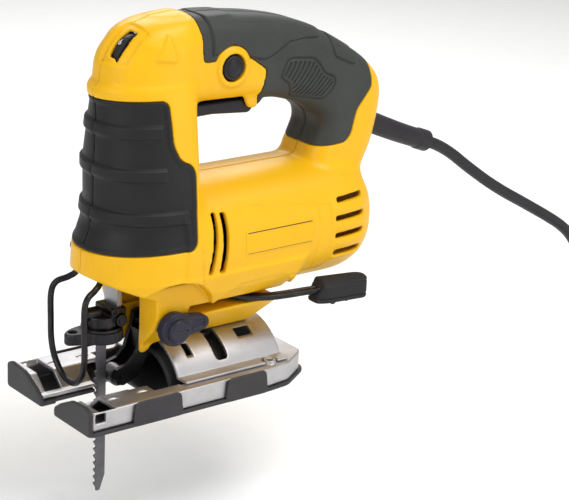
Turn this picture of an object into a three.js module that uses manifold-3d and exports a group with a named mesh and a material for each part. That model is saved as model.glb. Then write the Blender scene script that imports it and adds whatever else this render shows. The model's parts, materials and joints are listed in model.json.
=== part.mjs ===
// A corded jigsaw: clamshell housing with a D-handle, motor and reducing gear, scotch yoke and plunger,
// tool-free blade clamp, pendulum roller, tilting shoe and a mains lead with its plug.
// Millimetres. +X is the cutting direction, +Y the tool's left side, +Z up.
// The saw is drawn about the blade's axis and then moved so that the origin is the middle of the sole.
import * as THREE from 'three';
import { mergeVertices } from 'three/addons/utils/BufferGeometryUtils.js';
import Module from 'manifold-3d';

const wasm = await Module();
wasm.setup();

// ---------------------------------------------------------------- driving dimensions
const BLADE_AHEAD = 41; // blade axis ahead of the middle of the sole
const GAP = 0.3; // left between meshes that touch
const WALL = 4; // housing wall, soft overmould included
const SKIN = 1.6; // soft overmould thickness
const NOSE_CENTRE_X = -30; // centre of the elliptical nose sections
const BODY_REAR_X = -42; // back of the front column
const MOTOR_Z = 83; // armature axis height
const BARREL = { half: 36, high: 33, front: -20, round: -128, rear: -163, squareness: 2.7 };
const HANDLE_HALF = 19;
const SOLE = { front: 33.4, rear: -115, half: 41, thick: 2 };
const PLATE = { half: 39.2, low: 2.3, top: 12.5, thick: 2.2, front: 31, rear: -112 };
const ARCH = { radius: 30.3, thick: 2, front: -30, rear: -97 };
const BLADE_SLOT = { half: 9, rear: -21.5, front: -1, rollerHalf: 16, mouthHalf: 6.2 };
const GEAR_TEETH = 54;
const PINION_TEETH = 9;
const GEAR_MODULE = 1;
const GEAR_X = [-26.5, -18.5];
const GEAR_Z = MOTOR_Z + (GEAR_MODULE * (GEAR_TEETH + PINION_TEETH)) / 2;
const CRANK = 10; // eccentricity: half the plunger's stroke
const PIN = [CRANK * 0.8, GEAR_Z - CRANK * 0.6]; // the saw stands 4 mm above the bottom of its stroke
const PLUNGER = { x: [-7.4, -4.6], half: 6, low: 46, high: 146 };
const BLADE = { back: -2.1, width: 7.4, half: 0.6, tip: -53, top: 45, pitch: 4 };
const CLAMP_X = 1;
const ROLLER = { x: -7.9, z: 12, radius: 5.4, half: 4 };
const FORK_PIVOT = { x: -26, z: 40 };
const SELECTOR = { x: -24, z: 44, reach: 21 };
const BEVEL_PIVOT_X = -60;
const TRIGGER_PIVOT = { x: -47, z: 158.5 };
const LOCK_BUTTON = { x: -64.5, z: 174.5, radius: 7 };
const DIAL = { x: -12, z: 184, radius: 11, side: [4, 8.4] };
const CORD = { radius: 3.4, floor: -66, coil: 37.5, turns: 4, layers: 2, centre: [-425, 40] };

// ---------------------------------------------------------------- solids from three.js geometries
function solid(geometry) {
  const bare = geometry.clone();
  bare.deleteAttribute('normal');
  bare.deleteAttribute('uv');
  const merged = mergeVertices(bare, 1e-4);
  const vertProperties = new Float32Array(merged.attributes.position.array);
  const triVerts = new Uint32Array(merged.index.array);
  return new wasm.Manifold(new wasm.Mesh({ numProp: 3, vertProperties, triVerts }));
}

function surface(body) {
  const mesh = body.getMesh();
  const geometry = new THREE.BufferGeometry();
  geometry.setAttribute('position', new THREE.BufferAttribute(mesh.vertProperties, 3));
  geometry.setIndex(new THREE.BufferAttribute(mesh.triVerts, 1));
  return geometry;
}

const join = (first, ...rest) => rest.reduce((all, next) => all.add(next), first);
const cut = (first, ...rest) => rest.reduce((all, next) => all.subtract(next), first);
const meet = (first, second) => first.intersect(second);

// A frame whose third axis is the named one: a flat outline is drawn in the other two, in X, Y, Z order.
function axisFrame(axis) {
  const [x, y, z] = [new THREE.Vector3(1, 0, 0), new THREE.Vector3(0, 1, 0), new THREE.Vector3(0, 0, 1)];
  if (axis === 'x') return new THREE.Matrix4().makeBasis(y, z, x);
  if (axis === 'y') return new THREE.Matrix4().makeBasis(x, z, y.negate());
  return new THREE.Matrix4();
}

function box(x, y, z) {
  const geometry = new THREE.BoxGeometry(x[1] - x[0], y[1] - y[0], z[1] - z[0]);
  return solid(geometry.translate((x[0] + x[1]) / 2, (y[0] + y[1]) / 2, (z[0] + z[1]) / 2));
}

// Turns a geometry made about the Y axis so that it runs along the named one, from a station there.
function along(geometry, axis, station, centre) {
  if (axis === 'x') return geometry.rotateZ(-Math.PI / 2).translate(station, centre[0], centre[1]);
  if (axis === 'z') return geometry.rotateX(Math.PI / 2).translate(centre[0], centre[1], station);
  return geometry.translate(centre[0], station, centre[1]);
}

// A round bar along an axis between two stations; its centre is given in the other two axes.
function rod(axis, span, centre, radius, sides = 20) {
  const geometry = new THREE.CylinderGeometry(radius, radius, span[1] - span[0], sides);
  return solid(along(geometry, axis, (span[0] + span[1]) / 2, centre));
}

function tube(axis, span, centre, outer, inner, sides = 24) {
  const through = [span[0] - 1, span[1] + 1];
  return cut(rod(axis, span, centre, outer, sides), rod(axis, through, centre, inner, sides));
}

// A turned body: pairs of radius and distance along the axis.
function turned(axis, station, centre, profile, sides = 20) {
  const points = profile.map(([radius, distance]) => new THREE.Vector2(radius, distance));
  return solid(along(new THREE.LatheGeometry(points, sides), axis, station, centre));
}

function outline(points, holes = []) {
  const shape = new THREE.Shape(points.map(([u, v]) => new THREE.Vector2(u, v)));
  shape.holes = holes.map((hole) => new THREE.Path(hole.map(([u, v]) => new THREE.Vector2(u, v))));
  return shape;
}

function splinePoints(points, count) {
  const curve = new THREE.SplineCurve(points.map(([u, v]) => new THREE.Vector2(u, v)));
  return curve.getPoints(count).map((p) => [p.x, p.y]);
}

function circlePoints(centre, radius, count, start = 0, sweep = 2 * Math.PI) {
  const closed = sweep >= 2 * Math.PI ? count : count - 1;
  return Array.from({ length: count }, (_, i) => {
    const angle = start + (sweep * i) / closed;
    return [centre[0] + radius * Math.cos(angle), centre[1] + radius * Math.sin(angle)];
  });
}

// A flat outline extruded along an axis between two stations. A bevel rounds its rims; an inset shrinks it.
function prism(axis, span, shape, bevel = 0, inset = 0) {
  const geometry = new THREE.ExtrudeGeometry(shape, {
    depth: span[1] - span[0] - 2 * bevel,
    bevelEnabled: bevel > 0,
    bevelThickness: bevel,
    bevelSize: bevel,
    bevelOffset: -bevel - inset,
    bevelSegments: 2,
  });
  geometry.translate(0, 0, bevel + (axis === 'y' ? -span[1] : span[0]));
  return solid(geometry.applyMatrix4(axisFrame(axis)));
}

// The vertices of a geometry moved by a rule.
function warped(geometry, rule) {
  const position = geometry.attributes.position;
  for (let i = 0; i < position.count; i += 1) {
    position.setXYZ(i, ...rule(position.getX(i), position.getY(i), position.getZ(i)));
  }
  return solid(geometry);
}

// A round wire along a smooth curve.
function wire(points, radius, steps, sides = 8) {
  const curve = new THREE.CatmullRomCurve3(points.map((p) => new THREE.Vector3(...p)));
  const extrudePath = curve;
  const section = outline(circlePoints([0, 0], radius, sides));
  return solid(new THREE.ExtrudeGeometry(section, { steps, extrudePath, bevelEnabled: false }));
}

// A value read from rows that are sorted by height.
function atHeight(rows, z, key) {
  const next = rows.findIndex((row) => row.z >= z);
  if (next === 0) return rows[0][key];
  if (next < 0) return rows[rows.length - 1][key];
  const [low, high] = [rows[next - 1], rows[next]];
  return low[key] + ((high[key] - low[key]) * (z - low.z)) / (high.z - low.z);
}

// ---------------------------------------------------------------- the scene graph
const saw = new THREE.Group();
saw.position.x = BLADE_AHEAD;

const FINISH = {
  yellow: [0xf2c211, 0.45, 0],
  softGrip: [0x2c2c2c, 0.75, 0],
  handleGrip: [0x4a4d4a, 0.7, 0],
  blackPlastic: [0x2b2a2d, 0.5, 0],
  bluePlastic: [0x403e51, 0.5, 0],
  greyPlastic: [0x58555a, 0.55, 0],
  steel: [0xb9b7b8, 0.35, 0.9],
  darkSteel: [0x6f6c70, 0.4, 0.9],
  blackSteel: [0x1d1d1f, 0.45, 0.6],
  aluminium: [0xa9abad, 0.45, 0.9],
  copper: [0xb4693a, 0.35, 0.9],
  lamination: [0x77787a, 0.5, 0.8],
  brass: [0xc9a24b, 0.35, 0.9],
  carbon: [0x333333, 0.8, 0],
  board: [0x1f6b45, 0.5, 0],
  rubber: [0x262628, 0.8, 0],
  label: [0xd9d9d6, 0.5, 0],
};

function place(name, body, finish) {
  const [color, roughness, metalness] = FINISH[finish];
  const mesh = new THREE.Mesh(surface(body), new THREE.MeshStandardMaterial({ color, roughness, metalness }));
  mesh.name = name;
  saw.add(mesh);
}

// ---------------------------------------------------------------- outer form of the housing
// Height, nose position and half width of the elliptical sections, from the chin up to the crown.
const HEAD = [
  { z: 57, nose: 12, half: 32 },
  { z: 70, nose: 14.5, half: 36 },
  { z: 88, nose: 14, half: 36 },
  { z: 98, nose: 10.5, half: 34.5 },
  { z: 108, nose: 8, half: 33.5 },
  { z: 130, nose: 7.8, half: 32 },
  { z: 152, nose: 6.8, half: 29 },
  { z: 164, nose: 7, half: 27 },
  { z: 171, nose: 9, half: 26 },
  { z: 178, nose: 6, half: 23 },
  { z: 186, nose: 0.5, half: 20.5 },
  { z: 193, nose: -6, half: 17 },
  { z: 198, nose: -13, half: 12 },
  { z: 201, nose: -20, half: 8 },
];

function headForm(inset) {
  const low = HEAD[0].z + inset;
  const high = HEAD[HEAD.length - 1].z - inset;
  const plan = outline([[-1, -1], ...circlePoints([0, 0], 1, 13, -Math.PI / 2, Math.PI), [-1, 1]]);
  const geometry = new THREE.ExtrudeGeometry(plan, { depth: 1, steps: 15, bevelEnabled: false });
  return warped(geometry, (u, v, t) => {
    const z = low + t * (high - low);
    const ahead = atHeight(HEAD, z, 'nose') - inset - NOSE_CENTRE_X;
    const behind = NOSE_CENTRE_X - BODY_REAR_X - inset;
    return [NOSE_CENTRE_X + u * (u > 0 ? ahead : behind), v * (atHeight(HEAD, z, 'half') - inset), z];
  });
}

// The motor barrel: a squarish oval section that closes in towards its rounded rear end.
function barrelForm(inset) {
  const power = 2 / BARREL.squareness;
  const section = circlePoints([0, 0], 1, 24).map((point) =>
    point.map((value) => Math.sign(value) * Math.abs(value) ** power));
  const steps = 7;
  const rounded = steps - 1;
  const geometry = new THREE.ExtrudeGeometry(outline(section), { depth: steps, steps, bevelEnabled: false });
  return warped(geometry, (u, v, layer) => {
    const step = Math.round(layer);
    const back = Math.max(0, 1 - step / rounded);
    const turn = Math.sqrt(1 - (0.86 * back) ** 2.6);
    const rear = BARREL.rear + inset;
    const x = step === steps ? BARREL.front : BARREL.round + back * (rear - BARREL.round);
    return [x, u * turn * (BARREL.half - inset), MOTOR_Z + v * turn * (BARREL.high - inset)];
  });
}

// Side outline of the handle: the crown, the top, the rear column; and the opening for the hand.
const HANDLE_TOP = [
  [-24, 200], [-43, 201], [-63, 199.8], [-91, 196.8], [-120, 189.6], [-150, 174], [-164, 163.5],
  [-170, 154], [-170.5, 141], [-166, 121], [-160, 107], [-158, 96],
];
const HAND_OPENING = [
  [-42, 97], [-41, 143], [-45, 151], [-84, 153.5], [-96, 153.6], [-107, 150.6], [-119, 146.5],
  [-127.5, 140], [-129, 134], [-125.5, 126], [-122, 119], [-121, 97],
];

function handleForm(inset) {
  const rim = [[-15, 68], [-148, 68], ...splinePoints(HANDLE_TOP, 16).reverse(), [-15, 186]];
  const shape = outline(rim, [HAND_OPENING]);
  const half = HANDLE_HALF - inset;
  return prism('y', [-half, half], shape, 11 - inset, inset);
}

// The foot that carries the shoe: a tapered section cut to its side outline.
const FOOT_SECTION = [[12, 24], [12, 30.8], [22, 41], [27, 49.5], [33, 60], [35.5, 70]];
const FOOT_SIDE = [
  [-24, 70], [-15.5, 62], [-15.5, 36], [-13.5, 32], [-14, 27.5], [-17, 25], [-21, 26], [-24, 29.5],
  [-88, 29.5], [-102, 57], [-106, 70],
];

function footForm(inset) {
  const left = FOOT_SECTION.map(([y, z]) => [y - inset, z]);
  const section = outline([...left.map(([y, z]) => [-y, z]).reverse(), ...left]);
  const side = inset > 0 ? [[-20, 70], [-20, 32], [-84, 32], [-97, 57], [-100, 70]] : FOOT_SIDE;
  return meet(prism('x', [-110, -10], section), prism('y', [-40, 40], outline(side)));
}

// The chin's underside slopes down from the nose to the foot.
function belowChin(lift) {
  return prism('y', [-60, 60], outline([[40, 80 + lift], [15, 72 + lift], [-15.5, 59.5 + lift],
    [-15.5, 20], [40, 20]]));
}

function housingForm(inset) {
  const head = cut(headForm(inset), belowChin(inset));
  return join(head, barrelForm(inset), handleForm(inset), footForm(inset));
}

// ---------------------------------------------------------------- soft overmould areas, seen from the side
const FRONT_GRIP_SIDE = [
  [40, 162], [24, 163.5], [-17, 163.5], [-19.8, 160.5], [-20.5, 142], [-25, 133.5], [-31.5, 131], [-34, 126],
  [-36.5, 108], [-35.5, 90], [-33, 87], [-10, 86.2], [10, 85.4], [40, 85],
];
const HANDLE_GRIP_SIDE = [
  [-40, 215], [-42, 190], [-45, 179], [-76, 178.5], [-87, 171], [-84, 158], [-85, 140], [-112, 130],
  [-116, 122.5], [-142, 124.5], [-145.5, 128], [-149, 141.5], [-158.5, 153], [-159.5, 164], [-163, 190],
  [-120, 215],
];
const lockRing = rod('y', [0, 50], [LOCK_BUTTON.x, LOCK_BUTTON.z], 10.6, 28);

// A shrunk area leaves the gap round the edge of the soft part.
const skinArea = (side) => prism('y', [-60, 60], outline(side));
const shrunkArea = (side) => prism('y', [-60, 60], outline(side), 0.01, GAP);

const shellOuter = housingForm(0);
const shellUnderSkin = housingForm(SKIN);
const shellVoid = housingForm(WALL);
const skinSeat = housingForm(SKIN + GAP);
const dialWell = rod('y', [DIAL.side[0] - 0.5, DIAL.side[1] + 0.5], [DIAL.x, DIAL.z], DIAL.radius + 0.5, 32);

// ---------------------------------------------------------------- the two housing halves
// Screw posts, and the depth of each screw's head under the right side.
const POSTS = [
  { x: -32, z: 187, head: -12 },
  { x: -133, z: 169, head: -13 },
  { x: -150, z: 118, head: -13 },
  { x: -92, z: 44, head: -18 },
  { x: 5, z: 80.5, head: -17 },
];
const POST_RADIUS = 4;
const FRONT_VENTS = [-41.5, -47.5];
const REAR_VENTS = [100, 91, 82, 73];

function ventSlots() {
  const front = FRONT_VENTS.map((x) => box([x - 1.6, x + 1.6], [-50, 50], [72, 103]));
  const rear = REAR_VENTS.map((z) => box([-143, -121.5], [-50, 50], [z - 2, z + 2]));
  const core = box([-200, 0], [-25, 25], [40, 110]);
  const rearCore = box([-200, 0], [-15, 15], [40, 110]);
  return join(cut(join(...front), core), cut(join(...rear), rearCore));
}

function housingShell() {
  const posts = join(...POSTS.map(({ x, z }) => rod('y', [-45, 45], [x, z], POST_RADIUS, 16)));
  const bearingRib = cut(box([-133.6, -127.4], [-45, 45], [40, 125]),
    rod('x', [-140, -120], [0, MOTOR_Z], 8.4, 24));
  const plateRails = cut(box([-36.6, -27.2], [-45, 45], [56, 142]), box([-34.4, -29.4], [-50, 50], [50, 150]),
    box([-40, -20], [-24, 24], [40, 137]));
  const forkCheeks = cut(box([-31, -19], [-13.7, 13.7], [30, 52]), box([-40, -10], [-9.7, 9.7], [15, 66]),
    rod('y', [-20, 20], [FORK_PIVOT.x, FORK_PIVOT.z], 2.3, 12));
  const triggerLugs = cut(box([-51, -43], [-16, 16], [155, 163]), box([-60, -40], [-9, 9], [150, 170]),
    rod('y', [-20, 20], [TRIGGER_PIVOT.x, TRIGGER_PIVOT.z], 2.3, 12));
  const ribs = meet(shellOuter, join(posts, bearingRib, plateRails, forkCheeks, triggerLugs));
  const chin = prism('y', [-15, 15], outline([[-76, 155], [-78.5, 150.5], [-82.5, 149.8], [-86.5, 155.5],
    [-86, 158], [-77, 158]]));
  const shell = join(cut(shellOuter, shellVoid), ribs, cut(chin, shellVoid));
  const skins = cut(join(skinArea(FRONT_GRIP_SIDE), cut(skinArea(HANDLE_GRIP_SIDE), lockRing)), skinSeat);
  const plungerMouth = box([-11.5, 0.5], [-10.5, 10.5], [50, 78]);
  const footChannel = box([-40, -10], [-9.7, 9.7], [15, 66]);
  const gearWell = rod('x', [GEAR_X[0] - 0.5, GEAR_X[1] + 0.6], [0, GEAR_Z], 28.3, 40);
  const tiltSide = (side) => prism('x', [-100, -29], outline([[8, 28.6], [40, 60.6], [40, 0], [8, 0]].map(
    ([y, z]) => [side * y, z])));
  const archSeat = join(rod('x', [-130, -22], [0, 0], ARCH.radius + 0.7, 48), tiltSide(1), tiltSide(-1));
  const bevelSlot = box([-112, -36], [8, 50], [46.6, 52.4]);
  const boltHole = rod('z', [20, 46], [BEVEL_PIVOT_X, 0], 3.5, 20);
  const selectorWell = rod('y', [26.5, 60], [SELECTOR.x, SELECTOR.z], SELECTOR.reach + 5.2, 28);
  const selectorHole = rod('y', [15, 60], [SELECTOR.x, SELECTOR.z], 5.4, 20);
  const triggerMouth = box([-84.6, -43.6], [-8.5, 8.5], [140, 160]);
  const buttonHole = rod('y', [5, 50], [LOCK_BUTTON.x, LOCK_BUTTON.z], LOCK_BUTTON.radius + GAP, 24);
  const leadHole = wire([[-150, 0, 138.4], [-180, 0, 124.6]], 7.3, 1, 20);
  const guardHoles = join(...[-1, 1].map((side) => rod('z', [60, 82], [9, side * 11], 2, 12)));
  const screwHoles = POSTS.map(({ x, z }) => rod('y', [-60, 10.5], [x, z], 1.8, 12));
  const headHoles = POSTS.map(({ x, z, head }) => rod('y', [-60, head], [x, z], 3.5, 12));
  return cut(shell, skins, ventSlots(), plungerMouth, footChannel, gearWell, archSeat, bevelSlot, boltHole,
    selectorWell, selectorHole, triggerMouth, buttonHole, leadHole, guardHoles, dialWell, ...screwHoles, ...headHoles);
}

const leftSide = box([-250, 100], [GAP / 2, 100], [-20, 260]);
const rightSide = box([-250, 100], [-100, -GAP / 2], [-20, 260]);

// The largest of the separate bodies of a cut.
function largest(body) {
  return body.decompose().reduce((best, next) => (next.volume() > best.volume() ? next : best));
}

const shell = housingShell();
place('housing_left', largest(meet(shell, leftSide)), 'yellow');
place('housing_right', largest(meet(shell, rightSide)), 'yellow');

// Soft overmould: a skin on each half, parted at the middle like the halves.
function softSkin(area, side) {
  return largest(meet(meet(cut(shellOuter, shellUnderSkin), area), side));
}
const frontGripArea = shrunkArea(FRONT_GRIP_SIDE);
const handleGripArea = cut(shrunkArea(HANDLE_GRIP_SIDE), lockRing);
place('front_grip_left', softSkin(frontGripArea, leftSide), 'softGrip');
place('front_grip_right', softSkin(frontGripArea, rightSide), 'softGrip');
place('handle_grip_left', softSkin(handleGripArea, leftSide), 'handleGrip');
place('handle_grip_right', softSkin(handleGripArea, rightSide), 'handleGrip');

const labelArea = box([-108, -62], [20, 50], [78.5, 91.5]);
place('side_label', meet(cut(barrelForm(-1), barrelForm(-GAP)), labelArea), 'label');

POSTS.forEach(({ x, z, head }, index) => {
  const body = join(rod('y', [head - 3, head - GAP], [x, z], 3, 12), rod('y', [head - 1, 9], [x, z], 1.4, 8));
  place(`housing_screw_${index + 1}`, body, 'darkSteel');
});

// ---------------------------------------------------------------- trigger, switch, lock button, speed dial
const triggerSide = [
  [-45, 161], [-49, 162.2], [-60, 159.2], [-80, 156.6], [-83, 154], [-83.4, 148], [-81, 145.4], [-70, 145],
  [-56, 147], [-50.5, 149], [-46, 153], [-44.2, 157],
];
const triggerBody = join(prism('y', [-8, 8], outline(triggerSide), 1.5),
  rod('y', [-11, 11], [TRIGGER_PIVOT.x, TRIGGER_PIVOT.z], 1.9, 12));
place('trigger', cut(triggerBody, rod('z', [154, 170], [-76, 0], 3.4, 16)), 'blackPlastic');
place('trigger_spring', tube('z', [154.6, 163.6], [-76, 0], 2.8, 1.8, 14), 'steel');
place('switch_module', box([-82, -56], [-9, 7], [164, 184]), 'blackPlastic');

const button = join(
  rod('y', [11.5, 20.3], [LOCK_BUTTON.x, LOCK_BUTTON.z], LOCK_BUTTON.radius, 24),
  rod('y', [10.3, 12], [LOCK_BUTTON.x, LOCK_BUTTON.z], 4, 16),
);
place('lock_on_button', button, 'blackPlastic');

const dialWheel = tube('y', DIAL.side, [DIAL.x, DIAL.z], DIAL.radius, 2.3, 36);
place('speed_dial', dialWheel, 'blackPlastic');
const boardPlate = box([-36, -6], [-11, 3], [166.5, 168.1]);
const potentiometer = box([-18, -9], [-4, 3.5], [168, 187]);
const dialStub = rod('y', [3, DIAL.side[1]], [DIAL.x, DIAL.z], 2, 12);
place('speed_board', join(boardPlate, potentiometer, dialStub), 'board');

// ---------------------------------------------------------------- motor
function gearOutline(teeth, clearance) {
  const pitch = (GEAR_MODULE * teeth) / 2;
  const root = pitch - 1.25 * GEAR_MODULE;
  const tip = pitch + 0.75 * GEAR_MODULE;
  const step = (2 * Math.PI) / teeth;
  const halves = [[root, 0.34 - clearance], [tip, 0.13 - clearance]];
  const points = [];
  for (let tooth = 0; tooth < teeth; tooth += 1) {
    for (const [radius, share] of [halves[0], halves[1], [tip, -halves[1][1]], [root, -halves[0][1]]]) {
      const angle = (tooth - share) * step;
      points.push([radius * Math.cos(angle), radius * Math.sin(angle)]);
    }
  }
  return points;
}

const turnedPoints = (points, angle, centre) => points.map(([u, v]) => [
  centre[0] + u * Math.cos(angle) - v * Math.sin(angle),
  centre[1] + u * Math.sin(angle) + v * Math.cos(angle),
]);

// The pinion has a tooth pointing up where the gear has a gap pointing down.
const pinionPoints = turnedPoints(gearOutline(PINION_TEETH, 0.03), Math.PI / 2, [0, MOTOR_Z]);
const gearTurn = -Math.PI / 2 + Math.PI / GEAR_TEETH;
const gearPoints = turnedPoints(gearOutline(GEAR_TEETH, 0.03), gearTurn, [0, GEAR_Z]);
const pinion = prism('x', [GEAR_X[0] - 1, GEAR_X[1] + 1], outline(pinionPoints));
const shaft = join(rod('x', [-138, GEAR_X[0] - 0.5], [0, MOTOR_Z], 4, 16), pinion,
  rod('x', [GEAR_X[1], -14], [0, MOTOR_Z], 2.4, 12));
place('motor_shaft', shaft, 'steel');

function slotted(span, outer, slots, depth, width) {
  const core = tube('x', span, [0, MOTOR_Z], outer, 4.3, 36);
  const grooves = Array.from({ length: slots }, (_, i) => {
    const blade = new THREE.BoxGeometry(span[1] - span[0] + 2, width, depth * 2);
    blade.translate((span[0] + span[1]) / 2, 0, outer).rotateX((2 * Math.PI * i) / slots);
    return solid(blade.translate(0, 0, MOTOR_Z));
  });
  return cut(core, ...grooves);
}
place('armature_core', slotted([-102, -66], 19, 12, 5, 2.4), 'lamination');
place('commutator', slotted([-121, -107], 10.5, 12, 0.8, 0.8), 'copper');

const FAN = { x: [-57, -46], radius: 26.5, hub: 8, blades: 11 };
const fanDisc = rod('x', [FAN.x[0], FAN.x[0] + 2], [0, MOTOR_Z], FAN.radius, 36);
const fanBlades = Array.from({ length: FAN.blades }, (_, i) => {
  const blade = new THREE.BoxGeometry(FAN.x[1] - FAN.x[0] - 1, 1.6, FAN.radius - FAN.hub);
  blade.translate((FAN.x[0] + FAN.x[1] + 1) / 2, 0, (FAN.radius + FAN.hub) / 2 - 0.6);
  return solid(blade.rotateX((2 * Math.PI * i) / FAN.blades).translate(0, 0, MOTOR_Z));
});
const fanHub = rod('x', FAN.x, [0, MOTOR_Z], FAN.hub, 20);
const shaftBore = rod('x', [-140, -20], [0, MOTOR_Z], 4.3, 16);
place('cooling_fan', cut(join(fanDisc, fanHub, ...fanBlades), shaftBore), 'blackPlastic');

place('stator_core', tube('x', [-103, -65], [0, MOTOR_Z], 27.6, 20, 36), 'lamination');
place('field_coil_front', tube('x', [-64.6, -59], [0, MOTOR_Z], 26, 20.5, 24), 'copper');
place('field_coil_rear', tube('x', [-108.6, -103.4], [0, MOTOR_Z], 26, 20.5, 24), 'copper');
place('front_bearing', tube('x', [-34, -28], [0, MOTOR_Z], 9, 4.3, 24), 'steel');
place('rear_bearing', tube('x', [-133.4, -127.6], [0, MOTOR_Z], 8, 4.3, 24), 'steel');

for (const [name, side] of [['left', 1], ['right', -1]]) {
  const span = (a, b) => (side > 0 ? [a, b] : [-b, -a]);
  const holder = cut(box([-119.5, -110.5], span(12.5, 27), [MOTOR_Z - 4.5, MOTOR_Z + 4.5]),
    box([-118, -112], span(5, 25), [MOTOR_Z - 3.3, MOTOR_Z + 3.3]));
  place(`brush_holder_${name}`, holder, 'brass');
  place(`carbon_brush_${name}`, box([-117.7, -112.3], span(10.9, 23), [MOTOR_Z - 3, MOTOR_Z + 3]), 'carbon');
}

// ---------------------------------------------------------------- gear case, gear, scotch yoke, plunger
const casePlate = prism('x', [-34, -29.8], outline([[-22, 58], [22, 58], [25.5, 84], [25.5, 118], [20, 140],
  [-20, 140], [-25.5, 118], [-25.5, 84]]));
const bearingSeat = rod('x', [-36, -27.8], [0, MOTOR_Z], 11, 28);
const axleSeat = rod('x', [-36, -27.8], [0, GEAR_Z], 7, 20);
const gearCase = cut(join(casePlate, bearingSeat, axleSeat), rod('x', [-40, -20], [0, MOTOR_Z], 9.3, 28),
  rod('x', [-40, -20], [0, GEAR_Z], 3.3, 16));
place('gear_case', gearCase, 'aluminium');
place('gear_axle', rod('x', [-36, -16.7], [0, GEAR_Z], 3, 16), 'steel');

const gearBlank = join(prism('x', GEAR_X, outline(gearPoints)), rod('x', [-27.4, -17.4], [0, GEAR_Z], 6, 20));
place('drive_gear', cut(gearBlank, rod('x', [-30, -10], [0, GEAR_Z], 3.1, 16),
  rod('x', [-30, -10], PIN, 2.5 + GAP, 14)), 'steel');
place('crank_pin', join(rod('x', [GEAR_X[0], -14], PIN, 2.5, 14),
  rod('x', [-15.6, -13.2], PIN, 3.6, 18)), 'steel');

const yokeBlank = prism('x', [-12.9, PLUNGER.x[0] - GAP], outline([[-17, PIN[1] - 8], [17, PIN[1] - 8],
  [19, PIN[1] - 5], [19, PIN[1] + 5], [17, PIN[1] + 8], [-17, PIN[1] + 8], [-19, PIN[1] + 5],
  [-19, PIN[1] - 5]]));
place('scotch_yoke', cut(yokeBlank, box([-20, -9.2], [-15, 15], [PIN[1] - 3.9, PIN[1] + 3.9])), 'steel');
const plungerBar = box(PLUNGER.x, [-PLUNGER.half, PLUNGER.half], [PLUNGER.low, PLUNGER.high]);
place('plunger', plungerBar, 'darkSteel');
for (const [name, low, high] of [['lower', 70.5, 78], ['upper', 134, 141]]) {
  const block = box([-12.5, 0], [-9.8, 9.8], [low, high]);
  const slide = box([PLUNGER.x[0] - 0.2, PLUNGER.x[1] + 0.2], [-PLUNGER.half - 0.2, PLUNGER.half + 0.2],
    [low - 1, high + 1]);
  place(`plunger_guide_${name}`, cut(block, slide), 'brass');
}

// ---------------------------------------------------------------- blade clamp and blade
const clampBarrel = join(rod('z', [33, 48], [CLAMP_X, 0], 8.6, 24), box([-9.4, 0], [-8, 8], [42, 52]));
const plungerPocket = box([PLUNGER.x[0] - GAP, PLUNGER.x[1] + GAP], [-PLUNGER.half - GAP, PLUNGER.half + GAP],
  [PLUNGER.low - GAP, 60]);
const shankPocket = box([BLADE.back - 0.4, BLADE.back + BLADE.width + 0.4], [-0.95, 0.95], [20, BLADE.top + GAP]);
place('clamp_body', cut(clampBarrel, plungerPocket, shankPocket), 'blackSteel');
const leverRing = tube('z', [34, 40], [CLAMP_X, 0], 11.4, 8.9, 24);
const leverArm = cut(prism('z', [34, 40], outline([[9, -9], [17, -7], [22, -3], [22.5, 1], [19, 3], [9, 6]])),
  prism('z', [30, 44], outline([[13.4, -4.4], [17, -3.4], [19, -1], [17.5, 0.6], [13.4, 1.6]])),
  rod('z', [30, 44], [CLAMP_X, 0], 8.9, 24));
place('clamp_lever', join(leverRing, leverArm), 'blackPlastic');
place('clamp_spring', tube('z', [40.4, 41.6], [CLAMP_X, 0], 10.8, 8.9, 24), 'steel');
place('clamp_screw', rod('y', [8 + GAP, 10.2], [-6, 46], 2.4, 14), 'steel');

const toothCount = 17;
const front = BLADE.back + BLADE.width;
const teeth = [[BLADE.back, BLADE.tip + 9], [front - 1.4, BLADE.tip]];
for (let tooth = 0; tooth < toothCount; tooth += 1) {
  const z = BLADE.tip + 2 + BLADE.pitch * tooth;
  teeth.push([front, z], [front - 2.6, z + 1.2]);
}
teeth.push([front - 0.4, 20], [front - 0.4, BLADE.top], [BLADE.back, BLADE.top]);
place('blade', prism('y', [-BLADE.half, BLADE.half], outline(teeth)), 'darkSteel');

// ---------------------------------------------------------------- pendulum roller and its selector
const forkSide = [
  [-29, 44], [-22.5, 43], [-21, 36], [-17, 24], [-12, 19], [-4.4, 17], [-3.4, 12], [-5, 8.6], [-9, 7.6],
  [-18, 11], [-24, 22], [-30, 37],
];
const forkArms = [-1, 1].map((side) =>
  prism('y', side > 0 ? [4.5, 7] : [-7, -4.5], outline(forkSide)));
const forkBridge = box([-27, -20.5], [-6, 6], [24, 35]);
const rollerPin = rod('y', [-7.4, 7.4], [ROLLER.x, ROLLER.z], 1.3, 12);
place('roller_fork', cut(join(...forkArms, forkBridge, rollerPin),
  rod('y', [-10, 10], [FORK_PIVOT.x, FORK_PIVOT.z], 2.3, 12)), 'blackSteel');
place('fork_pin', rod('y', [-13, 13], [FORK_PIVOT.x, FORK_PIVOT.z], 2, 12), 'steel');
place('guide_roller', cut(rod('y', [-ROLLER.half, ROLLER.half], [ROLLER.x, ROLLER.z], ROLLER.radius, 28),
  rod('y', [-10, 10], [ROLLER.x, ROLLER.z], 1.6, 12),
  box([ROLLER.x + 4.6, 0], [-0.9, 0.9], [0, 30])), 'darkSteel');

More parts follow.
